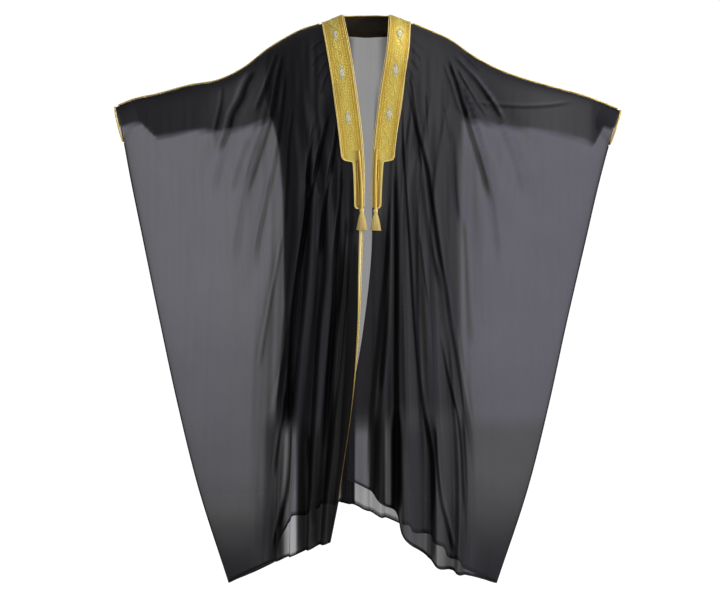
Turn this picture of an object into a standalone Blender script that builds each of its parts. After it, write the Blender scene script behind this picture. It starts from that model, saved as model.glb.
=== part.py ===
"""Bisht: a wide black voile cloak, open down the front, with a gold zari collar, held out by the arms.

Run with: blender --background --python part.py

Row frame: metres, +Z up, +Y towards the wearer's back. The origin lies between the shoulders, in the plane
of the shoulder seams, level with the tops of the shoulders beside the neck, which carry the cloak.
"right" and "left" are the wearer's own, so the right half lies at -X.

Each cloth panel is a grid. Its columns run from the arm line down to the hem and its rows run across, through
named stations. Between two pleat stations the panel swells into one rounded pleat.
"""

import math

import bpy
import numpy as np
from mathutils import Vector

# ------------------------------------------------------------------ driving sizes
WALL = 0.0018  # cloth wall
SEAM_GAP = 0.0003  # between two pieces that are sewn together
SIDES = {"right": -1.0, "left": 1.0}

# Top of the arms and shoulders, where front and back are sewn: (distance from the middle, height)
ARM_LINE = {
    "right": (
        (0.000, 0.029), (0.030, 0.028), (0.062, 0.021), (0.112, 0.001), (0.177, -0.021), (0.211, -0.039),
        (0.258, -0.068), (0.320, -0.116), (0.383, -0.147), (0.463, -0.162), (0.548, -0.185), (0.611, -0.199),
        (0.656, -0.217),
    ),
    "left": (
        (0.000, 0.029), (0.030, 0.028), (0.062, 0.021), (0.113, 0.002), (0.164, -0.019), (0.221, -0.045),
        (0.278, -0.085), (0.345, -0.121), (0.404, -0.143), (0.480, -0.165), (0.564, -0.188), (0.620, -0.208),
        (0.664, -0.226),
    ),
}

# Side seams: (level, distance from the middle). Levels run from 0 at the arm line to 1 at the hem.
SIDE_SEAM = {
    "right": (
        (0.00, 0.656), (0.07, 0.636), (0.14, 0.620), (0.28, 0.585), (0.45, 0.542), (0.62, 0.497),
        (0.80, 0.442), (1.00, 0.363),
    ),
    "left": (
        (0.00, 0.664), (0.07, 0.637), (0.14, 0.614), (0.28, 0.574), (0.45, 0.526), (0.62, 0.481),
        (0.80, 0.426), (1.00, 0.345),
    ),
}

# Front panels: distances from the middle at each level, counted positive towards the panel's own side
FRONT_STATIONS = ("edge", "band", "pleat_1", "pleat_2", "pleat_3", "wing", "side")
FRONT_SECTIONS = {
    "right": (
        # level, edge, band, pleat_1, pleat_2, pleat_3, wing
        (0.00, 0.062, 0.113, 0.153, 0.195, 0.238, 0.290),
        (0.07, 0.044, 0.100, 0.130, 0.168, 0.210, 0.258),
        (0.14, 0.029, 0.087, 0.110, 0.139, 0.174, 0.222),
        (0.28, 0.008, 0.060, 0.086, 0.116, 0.150, 0.200),
        (0.45, 0.012, 0.046, 0.073, 0.115, 0.160, 0.208),
        (0.62, 0.021, 0.049, 0.088, 0.134, 0.182, 0.220),
        (0.80, 0.039, 0.064, 0.102, 0.147, 0.200, 0.232),
        (1.00, 0.071, 0.092, 0.120, 0.156, 0.201, 0.238),
    ),
    "left": (
        (0.00, 0.062, 0.113, 0.153, 0.195, 0.238, 0.290),
        (0.07, 0.055, 0.105, 0.131, 0.167, 0.208, 0.256),
        (0.14, 0.040, 0.094, 0.114, 0.142, 0.177, 0.222),
        (0.28, 0.018, 0.067, 0.088, 0.116, 0.153, 0.208),
        (0.45, 0.015, 0.050, 0.078, 0.124, 0.180, 0.234),
        (0.62, 0.000, 0.040, 0.078, 0.142, 0.208, 0.252),
        (0.80, -0.037, 0.020, 0.078, 0.157, 0.228, 0.268),
        (1.00, -0.046, 0.012, 0.076, 0.162, 0.226, 0.264),
    ),
}
FRONT_HEM = {  # height of the hem at each station
    "right": (-1.232, -1.338, -1.347, -1.363, -1.384, -1.400, -1.470),
    "left": (-1.178, -1.206, -1.262, -1.385, -1.425, -1.440, -1.470),
}
FRONT_EVEN_HEM = -1.338  # a front that is shorter than this beside its edge lifts only low down

# The back panel, one table for each half
BACK_STATIONS = ("centre", "neck", "collar", "pleat_1", "pleat_2", "pleat_3", "wing", "side")
BACK_SECTIONS = {
    "right": (
        # level, centre, neck, collar, pleat_1, pleat_2, pleat_3, wing
        (0.00, 0.000, 0.062, 0.113, 0.153, 0.195, 0.238, 0.290),
        (0.14, 0.000, 0.054, 0.096, 0.136, 0.168, 0.205, 0.252),
        (0.28, 0.000, 0.050, 0.084, 0.124, 0.154, 0.190, 0.230),
        (0.62, 0.000, 0.048, 0.076, 0.118, 0.144, 0.182, 0.222),
        (1.00, 0.000, 0.052, 0.082, 0.132, 0.161, 0.210, 0.244),
    ),
    "left": (
        (0.00, 0.000, 0.062, 0.113, 0.153, 0.195, 0.238, 0.290),
        (0.14, 0.000, 0.046, 0.096, 0.132, 0.172, 0.206, 0.252),
        (0.28, 0.000, 0.040, 0.088, 0.116, 0.160, 0.188, 0.230),
        (0.62, 0.000, 0.036, 0.088, 0.114, 0.166, 0.194, 0.236),
        (1.00, 0.000, 0.040, 0.098, 0.128, 0.188, 0.220, 0.262),
    ),
}
BACK_HEM = {
    "right": (-1.296, -1.274, -1.276, -1.288, -1.304, -1.322, -1.425, -1.470),
    "left": (-1.296, -1.312, -1.330, -1.352, -1.380, -1.412, -1.440, -1.470),
}

# One rounded pleat between each pair of stations: (first station, depth at the hem, lean to the side, level
# at which it starts). A pleat with a lean folds over its neighbour.
PLEATS = {
    "front_right": (
        ("band", 0.034, 0.10, 0.30), ("pleat_1", 0.044, 0.20, 0.12), ("pleat_2", 0.055, 0.26, 0.10),
        ("pleat_3", 0.047, 0.20, 0.08),
    ),
    "front_left": (
        ("band", 0.057, -0.12, 0.34), ("pleat_1", 0.075, -0.28, 0.14), ("pleat_2", 0.062, -0.14, 0.12),
        ("pleat_3", 0.047, -0.12, 0.08),
    ),
    "back_right": (
        ("centre", 0.057, 0.10, 0.16), ("neck", 0.034, 0.26, 0.28), ("collar", 0.057, 0.24, 0.14),
        ("pleat_1", 0.034, 0.20, 0.24), ("pleat_2", 0.055, 0.26, 0.10), ("pleat_3", 0.042, 0.18, 0.08),
    ),
    "back_left": (
        ("centre", 0.044, -0.12, 0.24), ("neck", 0.062, -0.20, 0.16), ("collar", 0.034, 0.18, 0.26),
        ("pleat_1", 0.065, 0.26, 0.12), ("pleat_2", 0.036, 0.22, 0.18), ("pleat_3", 0.047, 0.18, 0.08),
    ),
}

# Soft slanting folds of the held-out cloth: (distance and height of one end, of the other, half width, depth).
# A positive depth stands out and a negative one sinks in.
CREASES = {
    "front_right": (
        (0.250, -0.105, 0.262, -0.290, 0.024, -0.014), (0.272, -0.100, 0.420, -0.400, 0.030, 0.016),
        (0.385, -0.160, 0.400, -0.300, 0.022, -0.010), (0.245, -0.300, 0.330, -0.640, 0.034, 0.014),
        (0.090, -0.180, 0.155, -0.470, 0.018, -0.012), (0.228, -0.520, 0.300, -0.900, 0.030, -0.012),
    ),
    "front_left": (
        (0.215, -0.080, 0.268, -0.280, 0.022, -0.014), (0.240, -0.090, 0.370, -0.480, 0.028, 0.016),
        (0.262, -0.110, 0.430, -0.330, 0.026, -0.012), (0.235, -0.300, 0.290, -0.620, 0.034, 0.014),
        (0.105, -0.180, 0.175, -0.560, 0.018, -0.012), (0.240, -0.700, 0.282, -1.180, 0.030, -0.014),
    ),
    "back_right": (
        (0.240, -0.110, 0.275, -0.330, 0.026, 0.014), (0.275, -0.120, 0.420, -0.420, 0.030, -0.014),
        (0.250, -0.420, 0.330, -0.800, 0.034, 0.012),
    ),
    "back_left": (
        (0.230, -0.110, 0.270, -0.330, 0.026, -0.014), (0.265, -0.120, 0.430, -0.440, 0.030, 0.014),
        (0.250, -0.420, 0.310, -0.820, 0.034, 0.012),
    ),
}

# How far each layer stands off the plane of the shoulder seams
CHEST_DEPTH, CHEST_DROP = 0.122, 0.150  # front of the body, and the drop over which the cloth reaches it
BACK_DEPTH, BACK_DROP = 0.104, 0.120
ARM_DEPTH, ARM_DROP = 0.046, 0.050
BODY_REACH = (0.140, 0.320)  # distance from the middle where body depth gives way to arm depth
HANG = (  # drop below the arm line, share of the body depth, share of the arm depth
    (0.00, 1.00, 1.00), (0.20, 1.00, 0.95), (0.45, 1.03, 0.76), (0.85, 1.08, 0.56), (1.30, 1.16, 0.44),
)
EDGE_TUCK = {"front_right": 0.010, "front_left": -0.012}  # the right front laps over the left one

CUFF_LEVEL = 0.072  # hand opening down the side seam, to this level: 90 mm long
CUFF_HALF_DEPTH = 0.029

NECK_HALF_WIDTH, NECK_BACK_DROP = 0.062, 0.031  # the neckline behind, and how far it lies down the back's curve
COLLAR_HALF_WIDTH, COLLAR_DROP = 0.113, 0.034  # the collar's outer edge behind, and its extra drop in the middle
SHOULDER_ROW_DROP = 0.019  # the collar's outer row goes on along the shoulders at this drop

BAND_WIDTH = 0.058  # embroidered front band, flat
BAND_NARROW = 0.029
BAND_EDGING = 0.006  # raised edging along both sides
BAND_STEP_LEVEL, BAND_END_LEVEL = 0.275, 0.372
BAND_WALL = 0.0014
EDGING_RISE = 0.0009

PIPING_RADIUS = 0.0016  # rolled gold edge of the fronts and the neck
PIPING_RISE = 0.0008  # it stands this far outside the middle of the wall
BRAID_RADIUS = 0.0022  # gold cord along the top of the arms and round the hand openings
BRAID_SIDES = 6

TASSEL_CORD_RADIUS = 0.0036
TASSEL_CORD_SIDES = 10
TASSEL_CORD_LEVELS = (0.262, 0.372)  # where on the front edge the cord starts and ends
TASSEL_LINE = {"right": (0.18, 0.07), "left": (0.14, 0.21)}  # its start and end, in shares of the band's width
TASSEL_RING = 24
TASSEL_FLATTENED = 0.56  # depth over width, as it lies against the front
TASSEL_RINGS = (  # drop below the cord, radius across, fluting
    (0.0000, 0.0030, 0.00), (0.0012, 0.0052, 0.00), (0.0050, 0.0066, 0.00), (0.0090, 0.0062, 0.00),
    (0.0112, 0.0046, 0.00), (0.0132, 0.0046, 0.00), (0.0165, 0.0062, 0.03), (0.0260, 0.0086, 0.06),
    (0.0400, 0.0114, 0.08), (0.0560, 0.0140, 0.10),
)

LEVELS = (  # rows of the panels
    0.0, 0.005, 0.018, 0.036, 0.054, 0.067, CUFF_LEVEL, 0.115, 0.165, 0.22, BAND_STEP_LEVEL,
    BAND_END_LEVEL, 0.47, 0.57, 0.67, 0.78, 0.89, 1.0,
)
PLEAT_LINES = (0.0, 0.12, 0.30, 0.50, 0.70, 0.88)  # columns within a pleat, closer together in its valleys
WING_CELLS = 9


# ------------------------------------------------------------------ small maths
def smooth_through(xs, ys, x):
    """A smooth curve through the points (xs, ys), read at x."""
    xs, ys, x = (np.asarray(values, float) for values in (xs, ys, x))
    slope = np.gradient(ys, xs)
    k = np.clip(np.searchsorted(xs, x) - 1, 0, len(xs) - 2)
    span = xs[k + 1] - xs[k]
    f = np.clip((x - xs[k]) / span, 0.0, 1.0)
    start, end = (1 + 2 * f) * (1 - f) ** 2, f * f * (3 - 2 * f)
    return start * ys[k] + end * ys[k + 1] + f * (1 - f) * span * ((1 - f) * slope[k] - f * slope[k + 1])


def ease(low, high, x):
    """0 below low, 1 above high and a soft step between; low may be the larger."""
    f = np.clip((np.asarray(x, float) - low) / (high - low), 0.0, 1.0)
    return f * f * (3 - 2 * f)


def arch(drop, reach):
    """Quarter circle: 0 at no drop, 1 from the drop called reach."""
    return np.sqrt(np.clip(1 - (1 - np.clip(drop / reach, 0, 1)) ** 2, 0, 1))


# ------------------------------------------------------------------ the cloth's form
class Panel:
    """One half of a cloth layer, as a surface over (station, level)."""

    def __init__(self, layer, side):
        self.layer = layer
        self.name = f"{layer}_{side}"
        self.sign = SIDES[side]
        self.outward = -1.0 if layer == "front" else 1.0
        front = layer == "front"
        self.stations = FRONT_STATIONS if front else BACK_STATIONS
        self.sections = np.array((FRONT_SECTIONS if front else BACK_SECTIONS)[side])
        self.side_seam = np.array(SIDE_SEAM[side])
        self.arm_line = np.array(ARM_LINE[side])
        self.hem = np.array((FRONT_HEM if front else BACK_HEM)[side])
        self.depth, self.drop = (CHEST_DEPTH, CHEST_DROP) if front else (BACK_DEPTH, BACK_DROP)

    def top(self, distance):
        """Height of the panel's upper edge: the arm line, and behind the neck the neckline."""
        return smooth_through(self.arm_line[:, 0], self.arm_line[:, 1], distance)

    def neck_drop(self, distance):
        """How far down the back's curve the panel starts. Only the back has a neckline cut."""
        cut = NECK_BACK_DROP * np.clip(1 - (distance / NECK_HALF_WIDTH) ** 2, 0, 1)
        return cut if self.layer == "back" else np.zeros_like(distance)

    def length(self, station, level):
        """Drop from the upper edge to the hem. Beside the front edge the hem lifts only low down."""
        distance = self.across(station, np.zeros_like(level))
        hem = np.interp(station, range(len(self.hem)), self.hem)
        if self.layer == "front":
            even = np.minimum(hem, FRONT_EVEN_HEM)
            hem = even + (hem - even) * ease(0.45, 1.0, level)
        return self.top(distance) - hem

    def across(self, station, level):
        """Distance from the middle. station counts 0, 1, 2 ... along self.stations."""
        table = self.sections.T
        columns = [smooth_through(table[0], column, level) for column in table[1:]]
        columns = np.array([*columns, smooth_through(self.side_seam[:, 0], self.side_seam[:, 1], level)])
        k = np.clip(np.floor(station).astype(int), 0, len(columns) - 2)
        f = station - k
        points = np.arange(level.size)
        return columns[k, points] * (1 - f) + columns[k + 1, points] * f

    def stand_off(self, distance, drop, station, level):
        """Distance of the plain layer, without pleats, from the plane of the shoulder seams."""
        hang = np.array(HANG)
        body_share = smooth_through(hang[:, 0], hang[:, 1], drop)
        arm_share = smooth_through(hang[:, 0], hang[:, 2], drop)
        body = ease(BODY_REACH[1], BODY_REACH[0], np.abs(distance))
        reach = ARM_DROP + (self.drop - ARM_DROP) * body
        depth = ARM_DEPTH * arm_share * (1 - body) + self.depth * body_share * body
        to_seam = np.clip(station - (len(self.stations) - 2), 0, 1)
        closed = np.sqrt(np.clip(1 - to_seam**2, 0, 1))
        round_cuff = np.clip(1 - (2 * level / CUFF_LEVEL - 1) ** 2, 0, 1)
        cuff = CUFF_HALF_DEPTH * round_cuff**0.65 * ease(0.55, 1.0, to_seam)
        below_cuff = ease(0.5, 1.0, level / CUFF_LEVEL)
        at_seam = (WALL + SEAM_GAP) / 2 * np.where(to_seam >= 1, below_cuff, 1.0)
        return np.maximum(np.maximum(depth * arch(drop, reach) * closed, cuff), at_seam)

    def at(self, station, level):
        """Points of the layer's middle surface, as rows of x, y, z."""
        station, level = (np.asarray(values, float).ravel() for values in (station, level))
        x = self.across(station, level)
        top_x = self.across(station, np.zeros_like(level))
        fall = self.length(station, level) * level
        z = self.top(top_x) - fall
        off = self.stand_off(x, self.neck_drop(top_x) + fall, station, level)
        for first, depth, lean, begins in PLEATS[self.name]:
            from_start = np.clip(station - self.stations.index(first), 0, 1)
            swell = (1 - np.cos(2 * math.pi * from_start)) / 2
            grown = depth * np.clip((level - begins) / (1 - begins), 0, 1) ** 0.85
            off = off + grown * swell
            x = x + grown * swell * lean
        off = off - self.valley_depth(station, level)
        for x0, z0, x1, z1, width, depth in CREASES[self.name]:
            run = np.array([x1 - x0, z1 - z0])
            length = np.hypot(*run)
            run = run / length
            reached = ((x - x0) * run[0] + (z - z0) * run[1]) / length
            aside = ((x - x0) * run[1] - (z - z0) * run[0]) / width
            taper = ease(-0.15, 0.25, reached) * ease(1.25, 0.6, reached) * ease(0.02, 0.09, level)
            off = off + depth * np.exp(-(aside**2)) * taper
        if self.name in EDGE_TUCK:
            off = off + EDGE_TUCK[self.name] * ease(1.6, 0.4, station) * ease(0.45, 0.75, level)
        off = np.where((level <= 0) & (top_x >= NECK_HALF_WIDTH), SEAM_GAP / 2, off)
        return np.stack([self.sign * x, self.outward * off, z], axis=1)


    def valley_depth(self, station, level):
        """How far the valleys sink below the plain layer: half the depth of the pleats beside them."""
        pleats = PLEATS[self.name]
        lines = [self.stations.index(first) + 0.5 for first, *_ in pleats]
        sunk = [
            0.5 * depth * np.clip((level - begins) / (1 - begins), 0, 1) ** 0.85 for _, depth, _, begins in pleats
        ]
        total = np.zeros_like(level)
        for line, amount in zip(lines, sunk):
            reach = np.where(station < line, 0.5 if line == lines[0] else 1.0, 0.5 if line == lines[-1] else 1.0)
            total += amount * np.clip(1 - np.abs(station - line) / reach, 0, 1)
        return total


def stations_of(panel):
    """Station values of the columns: the band's own lines, the pleats and the wing."""
    if panel.layer == "front":
        edging, narrow = BAND_EDGING / BAND_WIDTH, BAND_NARROW / BAND_WIDTH
        start, first_pleat = [0.0, edging, narrow - edging, narrow, 1 - edging], 1
    else:
        start, first_pleat = [], 0
    wing = len(panel.stations) - 2
    pleats = [k + share for k in range(first_pleat, wing) for share in PLEAT_LINES]
    return np.array(start + pleats + [wing + i / WING_CELLS for i in range(WING_CELLS + 1)])


def grid_of(panel, stations):
    """The panel's points as an array of rows, columns and x, y, z."""
    levels = np.repeat(np.array(LEVELS)[:, None], len(stations), axis=1)
    if panel.layer == "back":
        levels = collar_levels(panel, stations, levels)
    station = np.repeat(stations[None, :], len(LEVELS), axis=0)
    return panel.at(station, levels).reshape(*station.shape, 3)


def collar_levels(panel, stations, levels):
    """Moves the first rows of the back so that row 2 is the outer edge of the collar."""
    top_x = panel.across(stations, np.zeros(len(stations)))
    extra = COLLAR_DROP * np.sqrt(np.clip(1 - (top_x / COLLAR_HALF_WIDTH) ** 2, 0, 1))
    edge = (SHOULDER_ROW_DROP + extra) / panel.length(stations, np.zeros(len(stations)))
    moved = levels.copy()
    moved[1], moved[2] = edge * 0.45, edge
    for row in range(3, 7):
        moved[row] = edge + (LEVELS[7] - edge) * (row - 2) / 5
    body = ease(6.4, 5.0, stations)
    return levels + (moved - levels) * body


def normals_of(points, outward, seam_columns, side_columns):
    """Unit normals of a grid, pointing out of the garment.

    At the shoulder seam the wall ends square to it, and down a side seam it lies flat on its partner.
    """
    normals = np.cross(np.gradient(points, axis=1), np.gradient(points, axis=0))
    normals *= np.sign(normals[..., 1].sum()) * outward
    normals[0, seam_columns, 1] = 0.0
    normals /= np.linalg.norm(normals, axis=2, keepdims=True)
    cuff_rows = sum(level < 0.07 for level in LEVELS)
    for column in side_columns:
        normals[cuff_rows:, column] = (0.0, outward, 0.0)
    return normals


# ------------------------------------------------------------------ building the solids
def finish_colour(name, colour, roughness, metallic):
    made = bpy.data.materials.new(name)
    made.use_nodes = True
    shader = made.node_tree.nodes["Principled BSDF"]
    shader.inputs["Base Color"].default_value = (*colour, 1.0)
    shader.inputs["Roughness"].default_value = roughness
    shader.inputs["Metallic"].default_value = metallic
    return made


def add_solid(name, vertices, faces, material):
    mesh = bpy.data.meshes.new(name)
    mesh.from_pydata([tuple(v) for v in vertices], [], [tuple(f) for f in faces])
    mesh.update()
    mesh.calc_loop_triangles()
    points = np.array([v.co for v in mesh.vertices], float)
    a, b, c = (points[[t.vertices[k] for t in mesh.loop_triangles]] for k in range(3))
    if np.einsum("ij,ij->i", a, np.cross(b, c)).sum() < 0:
        mesh.flip_normals()
    mesh.materials.append(material)
    mesh.shade_smooth()
    mesh.set_sharp_from_angle(angle=math.radians(50))
    bpy.context.scene.collection.objects.link(bpy.data.objects.new(name, mesh))


def shell(name, inner, outer, cells, material):
    """A closed wall between two grids of points, over the cells named as (row, column)."""
    rows, columns = inner.shape[:2]
    cells = set(cells)
    used, faces = {}, []

    def vertex(layer, row, column):
        return used.setdefault((layer * rows + row) * columns + column, len(used))

    for row, column in sorted(cells):
        ring = ((row, column), (row + 1, column), (row + 1, column + 1), (row, column + 1))
        for half in (ring[:3], (ring[0], *ring[2:])):
            faces.append([vertex(1, *corner) for corner in half])
            faces.append([vertex(0, *corner) for corner in reversed(half)])
        neighbours = ((row, column - 1), (row + 1, column), (row, column + 1), (row - 1, column))
        for k, neighbour in enumerate(neighbours):
            if neighbour not in cells:
                a, b = ring[k], ring[(k + 1) % 4]
                faces.append([vertex(1, *b), vertex(1, *a), vertex(0, *a), vertex(0, *b)])
    both = np.concatenate([inner.reshape(-1, 3), outer.reshape(-1, 3)])
    add_solid(name, both[list(used)], faces, material)


def loft(name, rings, closed, material):
    """A solid through rings of equally many points, with flat ends or closed to a ring of rings."""
    count, sides = len(rings), len(rings[0])
    faces = []
    for k in range(count if closed else count - 1):
        here, there = k * sides, (k + 1) % count * sides
        faces += [
            [here + i, here + (i + 1) % sides, there + (i + 1) % sides, there + i] for i in range(sides)
        ]
    if not closed:
        faces += [list(range(sides))[::-1], [(count - 1) * sides + i for i in range(sides)]]
    add_solid(name, [p for ring in rings for p in ring], faces, material)


def cord(name, path, radius, sides, material, closed=False):
    """A round cord along a path."""
    path = [Vector(p) for p in path]
    count = len(path)
    rings, side = [], None
    for k, point in enumerate(path):
        before = path[(k - 1) % count] if closed else path[max(k - 1, 0)]
        after = path[(k + 1) % count] if closed else path[min(k + 1, count - 1)]
        along = (after - before).normalized()
        side = along.orthogonal() if side is None else side
        side = (side - along * side.dot(along)).normalized()
        up = along.cross(side)
        turns = [2 * math.pi * i / sides for i in range(sides)]
        rings.append([point + (side * math.cos(a) + up * math.sin(a)) * radius for a in turns])
    loft(name, rings, closed, material)


def edge_path(points, normals, column, inwards, distance):
    """A line beside one edge column of a grid, at a distance outside the edge and in the cloth's plane."""
    edge, within = points[:, column], points[:, column + inwards]
    along = np.gradient(edge, axis=0)
    out = np.cross(normals[:, column], along)
    out /= np.linalg.norm(out, axis=1, keepdims=True)
    out *= np.sign(np.einsum("ij,ij->i", out, edge - within))[:, None]
    return edge + out * distance


def build_front(side, cloth, zari):
    panel = Panel("front", side)
    stations = stations_of(panel)
    points = grid_of(panel, stations)
    last = len(stations) - 1
    normals = normals_of(points, panel.outward, slice(None), [last])
    outer = points + normals * WALL / 2
    cells = [(r, c) for r in range(len(LEVELS) - 1) for c in range(last)]
    shell(f"front_{side}", points - normals * WALL / 2, outer, cells, cloth)

    band = list(stations).index(1.0)
    step, end = LEVELS.index(BAND_STEP_LEVEL), LEVELS.index(BAND_END_LEVEL)
    band_cells = [(r, c) for r in range(step) for c in range(band)]
    band_cells += [(r, c) for r in range(step, end) for c in range(3)]
    under = outer + normals * SEAM_GAP
    rise = np.full(len(stations), BAND_WALL)
    rise[[0, 1, band - 1, band]] += EDGING_RISE
    shell(f"collar_{side}", under, under + normals * rise[None, :, None], band_cells, zari)
    return panel, points, normals


def build_back(cloth, zari):
    halves = []
    for side in SIDES:
        panel = Panel("back", side)
        stations = stations_of(panel)
        halves.append(grid_of(panel, stations))
    points = np.concatenate([halves[0][:, ::-1], halves[1][:, 1:]], axis=1)
    last, middle = points.shape[1] - 1, halves[0].shape[1] - 1
    beside_neck = np.abs(points[0, :, 0]) > NECK_HALF_WIDTH - 1e-6
    normals = normals_of(points, panel.outward, beside_neck, [0, last])
    outer = points + normals * WALL / 2
    cells = [(r, c) for r in range(len(LEVELS) - 1) for c in range(last)]
    shell("back", points - normals * WALL / 2, outer, cells, cloth)

    reach = 2 * len(PLEAT_LINES)
    band_cells = [(r, c) for r in range(2) for c in range(middle - reach, middle + reach)]
    under = outer + normals * SEAM_GAP
    rise = np.full(points.shape[:2], BAND_WALL)
    rise[[0, 2]] += EDGING_RISE
    shell("collar_back", under, under + normals * rise[..., None], band_cells, zari)
    return points, normals, beside_neck


def build_edges(fronts, back, gold):
    """The gold cords along the arms, round the hand openings and along the fronts and the neck."""
    band_rows = LEVELS.index(BAND_END_LEVEL)
    beside_edge = SEAM_GAP + PIPING_RADIUS + 0.0001
    back_points, back_normals, beside_neck = back
    neck_path = {}
    for side, (panel, points, normals) in fronts.items():
        first = list(np.abs(points[0, :, 0]) > COLLAR_HALF_WIDTH + 0.004).index(True)
        rise = WALL / 2 + SEAM_GAP + BRAID_RADIUS
        seam = points[0, first:] + normals[0, first:] * rise
        seam[-1] -= (seam[-1] - seam[-2]) * 0.12
        seam[:, 1] = 0.0
        cord(f"shoulder_braid_{side}", seam, BRAID_RADIUS, BRAID_SIDES, gold)

        cuff_rows = sum(level < 0.07 for level in LEVELS) + 1
        ring = np.concatenate([
            points[:cuff_rows, -1], back_points[cuff_rows - 2:0:-1, 0 if side == "right" else -1]
        ])
        ring[[0, cuff_rows - 1], 1] = 0.0
        ring[:, 0] += panel.sign * (SEAM_GAP + BRAID_RADIUS + 0.0004)
        cord(f"cuff_piping_{side}", ring, BRAID_RADIUS, BRAID_SIDES, gold, closed=True)

        edge = edge_path(points, normals, 0, 1, beside_edge) + normals[:, 0] * PIPING_RISE
        cord(f"front_piping_{side}", edge[band_rows:], PIPING_RADIUS, BRAID_SIDES, gold)
        neck_path[side] = edge[:band_rows]
    neckline = np.flatnonzero(~beside_neck)
    turned = (array.transpose(1, 0, 2) for array in (back_points, back_normals))
    rim = edge_path(*turned, 0, 1, beside_edge) + back_normals[0] * PIPING_RISE
    rim = rim[neckline]
    path = np.concatenate([neck_path["right"][::-1], rim, neck_path["left"]])
    cord("neck_piping", path, PIPING_RADIUS, BRAID_SIDES, gold)


def build_tassel(side, panel, gold):
    """A braided cord down the band's inner edge, and the tassel on its end, lying against the front."""
    lift = WALL / 2 + SEAM_GAP + BAND_WALL + EDGING_RISE + SEAM_GAP + TASSEL_CORD_RADIUS
    path = panel.at(np.linspace(*TASSEL_LINE[side], 9), np.linspace(*TASSEL_CORD_LEVELS, 9))
    path[:, 1] -= lift
    cord(f"tassel_cord_{side}", path, TASSEL_CORD_RADIUS, TASSEL_CORD_SIDES, gold)
    rings = []
    top = path[-1] - (0.0, 0.0, SEAM_GAP)
    for drop, radius, fluting in TASSEL_RINGS:
        centre = top - (0.0, max(0.0, radius * TASSEL_FLATTENED - TASSEL_CORD_RADIUS), drop)
        turns = [2 * math.pi * i / TASSEL_RING for i in range(TASSEL_RING)]
        rings.append([
            centre + np.array((math.cos(a), math.sin(a) * TASSEL_FLATTENED, 0.0))
            * radius * (1 + fluting * math.cos(a * TASSEL_RING / 3))
            for a in turns
        ])
    loft(f"tassel_{side}", rings, False, gold)


def main():
    for obj in list(bpy.data.objects):
        bpy.data.objects.remove(obj, do_unlink=True)
    cloth = finish_colour("black_voile", (0.012, 0.012, 0.014), 0.75, 0.0)
    zari = finish_colour("gold_zari", (0.62, 0.44, 0.08), 0.38, 0.75)
    gold = finish_colour("gold_cord", (0.70, 0.52, 0.12), 0.35, 0.75)
    fronts = {side: build_front(side, cloth, zari) for side in SIDES}
    back = build_back(cloth, zari)
    build_edges(fronts, back, gold)
    for side, (panel, _, _) in fronts.items():
        build_tassel(side, panel, gold)


main()
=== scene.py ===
"""Bisht: a wide, sheer black cloak with a gold embroidered collar band, open in front and held out by the arms.

Metres, +Z up, +Y towards the wearer's back. "right" and "left" are the wearer's own, so the right lies at -X.
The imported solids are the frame. Each section makes one piece of the real cloak, or one group of like pieces.
"""
import math
from functools import partial

import bpy
import numpy as np
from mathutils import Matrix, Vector


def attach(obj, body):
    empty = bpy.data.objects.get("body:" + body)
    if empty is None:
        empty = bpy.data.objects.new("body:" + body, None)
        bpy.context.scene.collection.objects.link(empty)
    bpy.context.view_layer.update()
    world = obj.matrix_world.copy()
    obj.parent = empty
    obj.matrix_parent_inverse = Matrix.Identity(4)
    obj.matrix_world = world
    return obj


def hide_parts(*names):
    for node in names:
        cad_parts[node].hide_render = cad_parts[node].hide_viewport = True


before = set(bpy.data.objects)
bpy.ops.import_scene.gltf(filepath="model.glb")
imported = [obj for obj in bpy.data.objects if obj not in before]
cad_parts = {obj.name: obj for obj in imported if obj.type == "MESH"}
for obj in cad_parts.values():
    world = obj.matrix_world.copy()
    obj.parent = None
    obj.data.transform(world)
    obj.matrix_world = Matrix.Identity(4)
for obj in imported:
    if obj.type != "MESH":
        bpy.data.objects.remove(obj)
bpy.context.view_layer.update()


# ------------------------------------------------------------------ the studio: paper, lights and camera
# A round sheet of white paper lies under the cloak, in front of a white room. A soft box stands at the cloak's
# left, a weak one in front and one above. The camera looks level with the waist, straight at the front.
TURN = 2 * math.pi
FLOOR = -1.512
PAPER_SIDES, PAPER_RINGS = 96, (0.5, 1.2, 2.0)
SOFT_BOXES = {  # place, width, power
    "soft_box_left": ((3.7, -1.9, 0.5), 1.2, 135.0),
    "soft_box_front": ((1.4, -4.4, 1.4), 1.5, 28.0),
    "top_box": ((1.1, -0.8, 2.6), 1.0, 40.0),
}
CLOAK_MIDDLE = (0.0, 0.0, -0.65)
CAMERA_PLACE, CAMERA_AIM = (0.0, -4.4, -0.60), (-0.016, 0.0, -0.744)
LENS, SENSOR = 83.65, 36.0
ROOM_LIGHT, ROOM_GLOW = 0.40, 0.65  # on the cloak; added where the camera sees the room itself


class Wired:
    """A socket in a node tree. Arithmetic on it adds Math nodes."""

    def __init__(self, wiring, socket):
        self.wiring, self.socket = wiring, socket

    def __add__(self, other):
        return self.wiring.maths("ADD", self, other)

    def __sub__(self, other):
        return self.wiring.maths("SUBTRACT", self, other)

    def __rsub__(self, other):
        return self.wiring.maths("SUBTRACT", other, self)

    def __mul__(self, other):
        return self.wiring.maths("MULTIPLY", self, other)

    def __truediv__(self, other):
        return self.wiring.maths("DIVIDE", self, other)

    def __pow__(self, other):
        return self.wiring.maths("POWER", self, other)

    def __rpow__(self, other):
        return self.wiring.maths("POWER", other, self)

    __radd__, __rmul__ = __add__, __mul__


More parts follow.
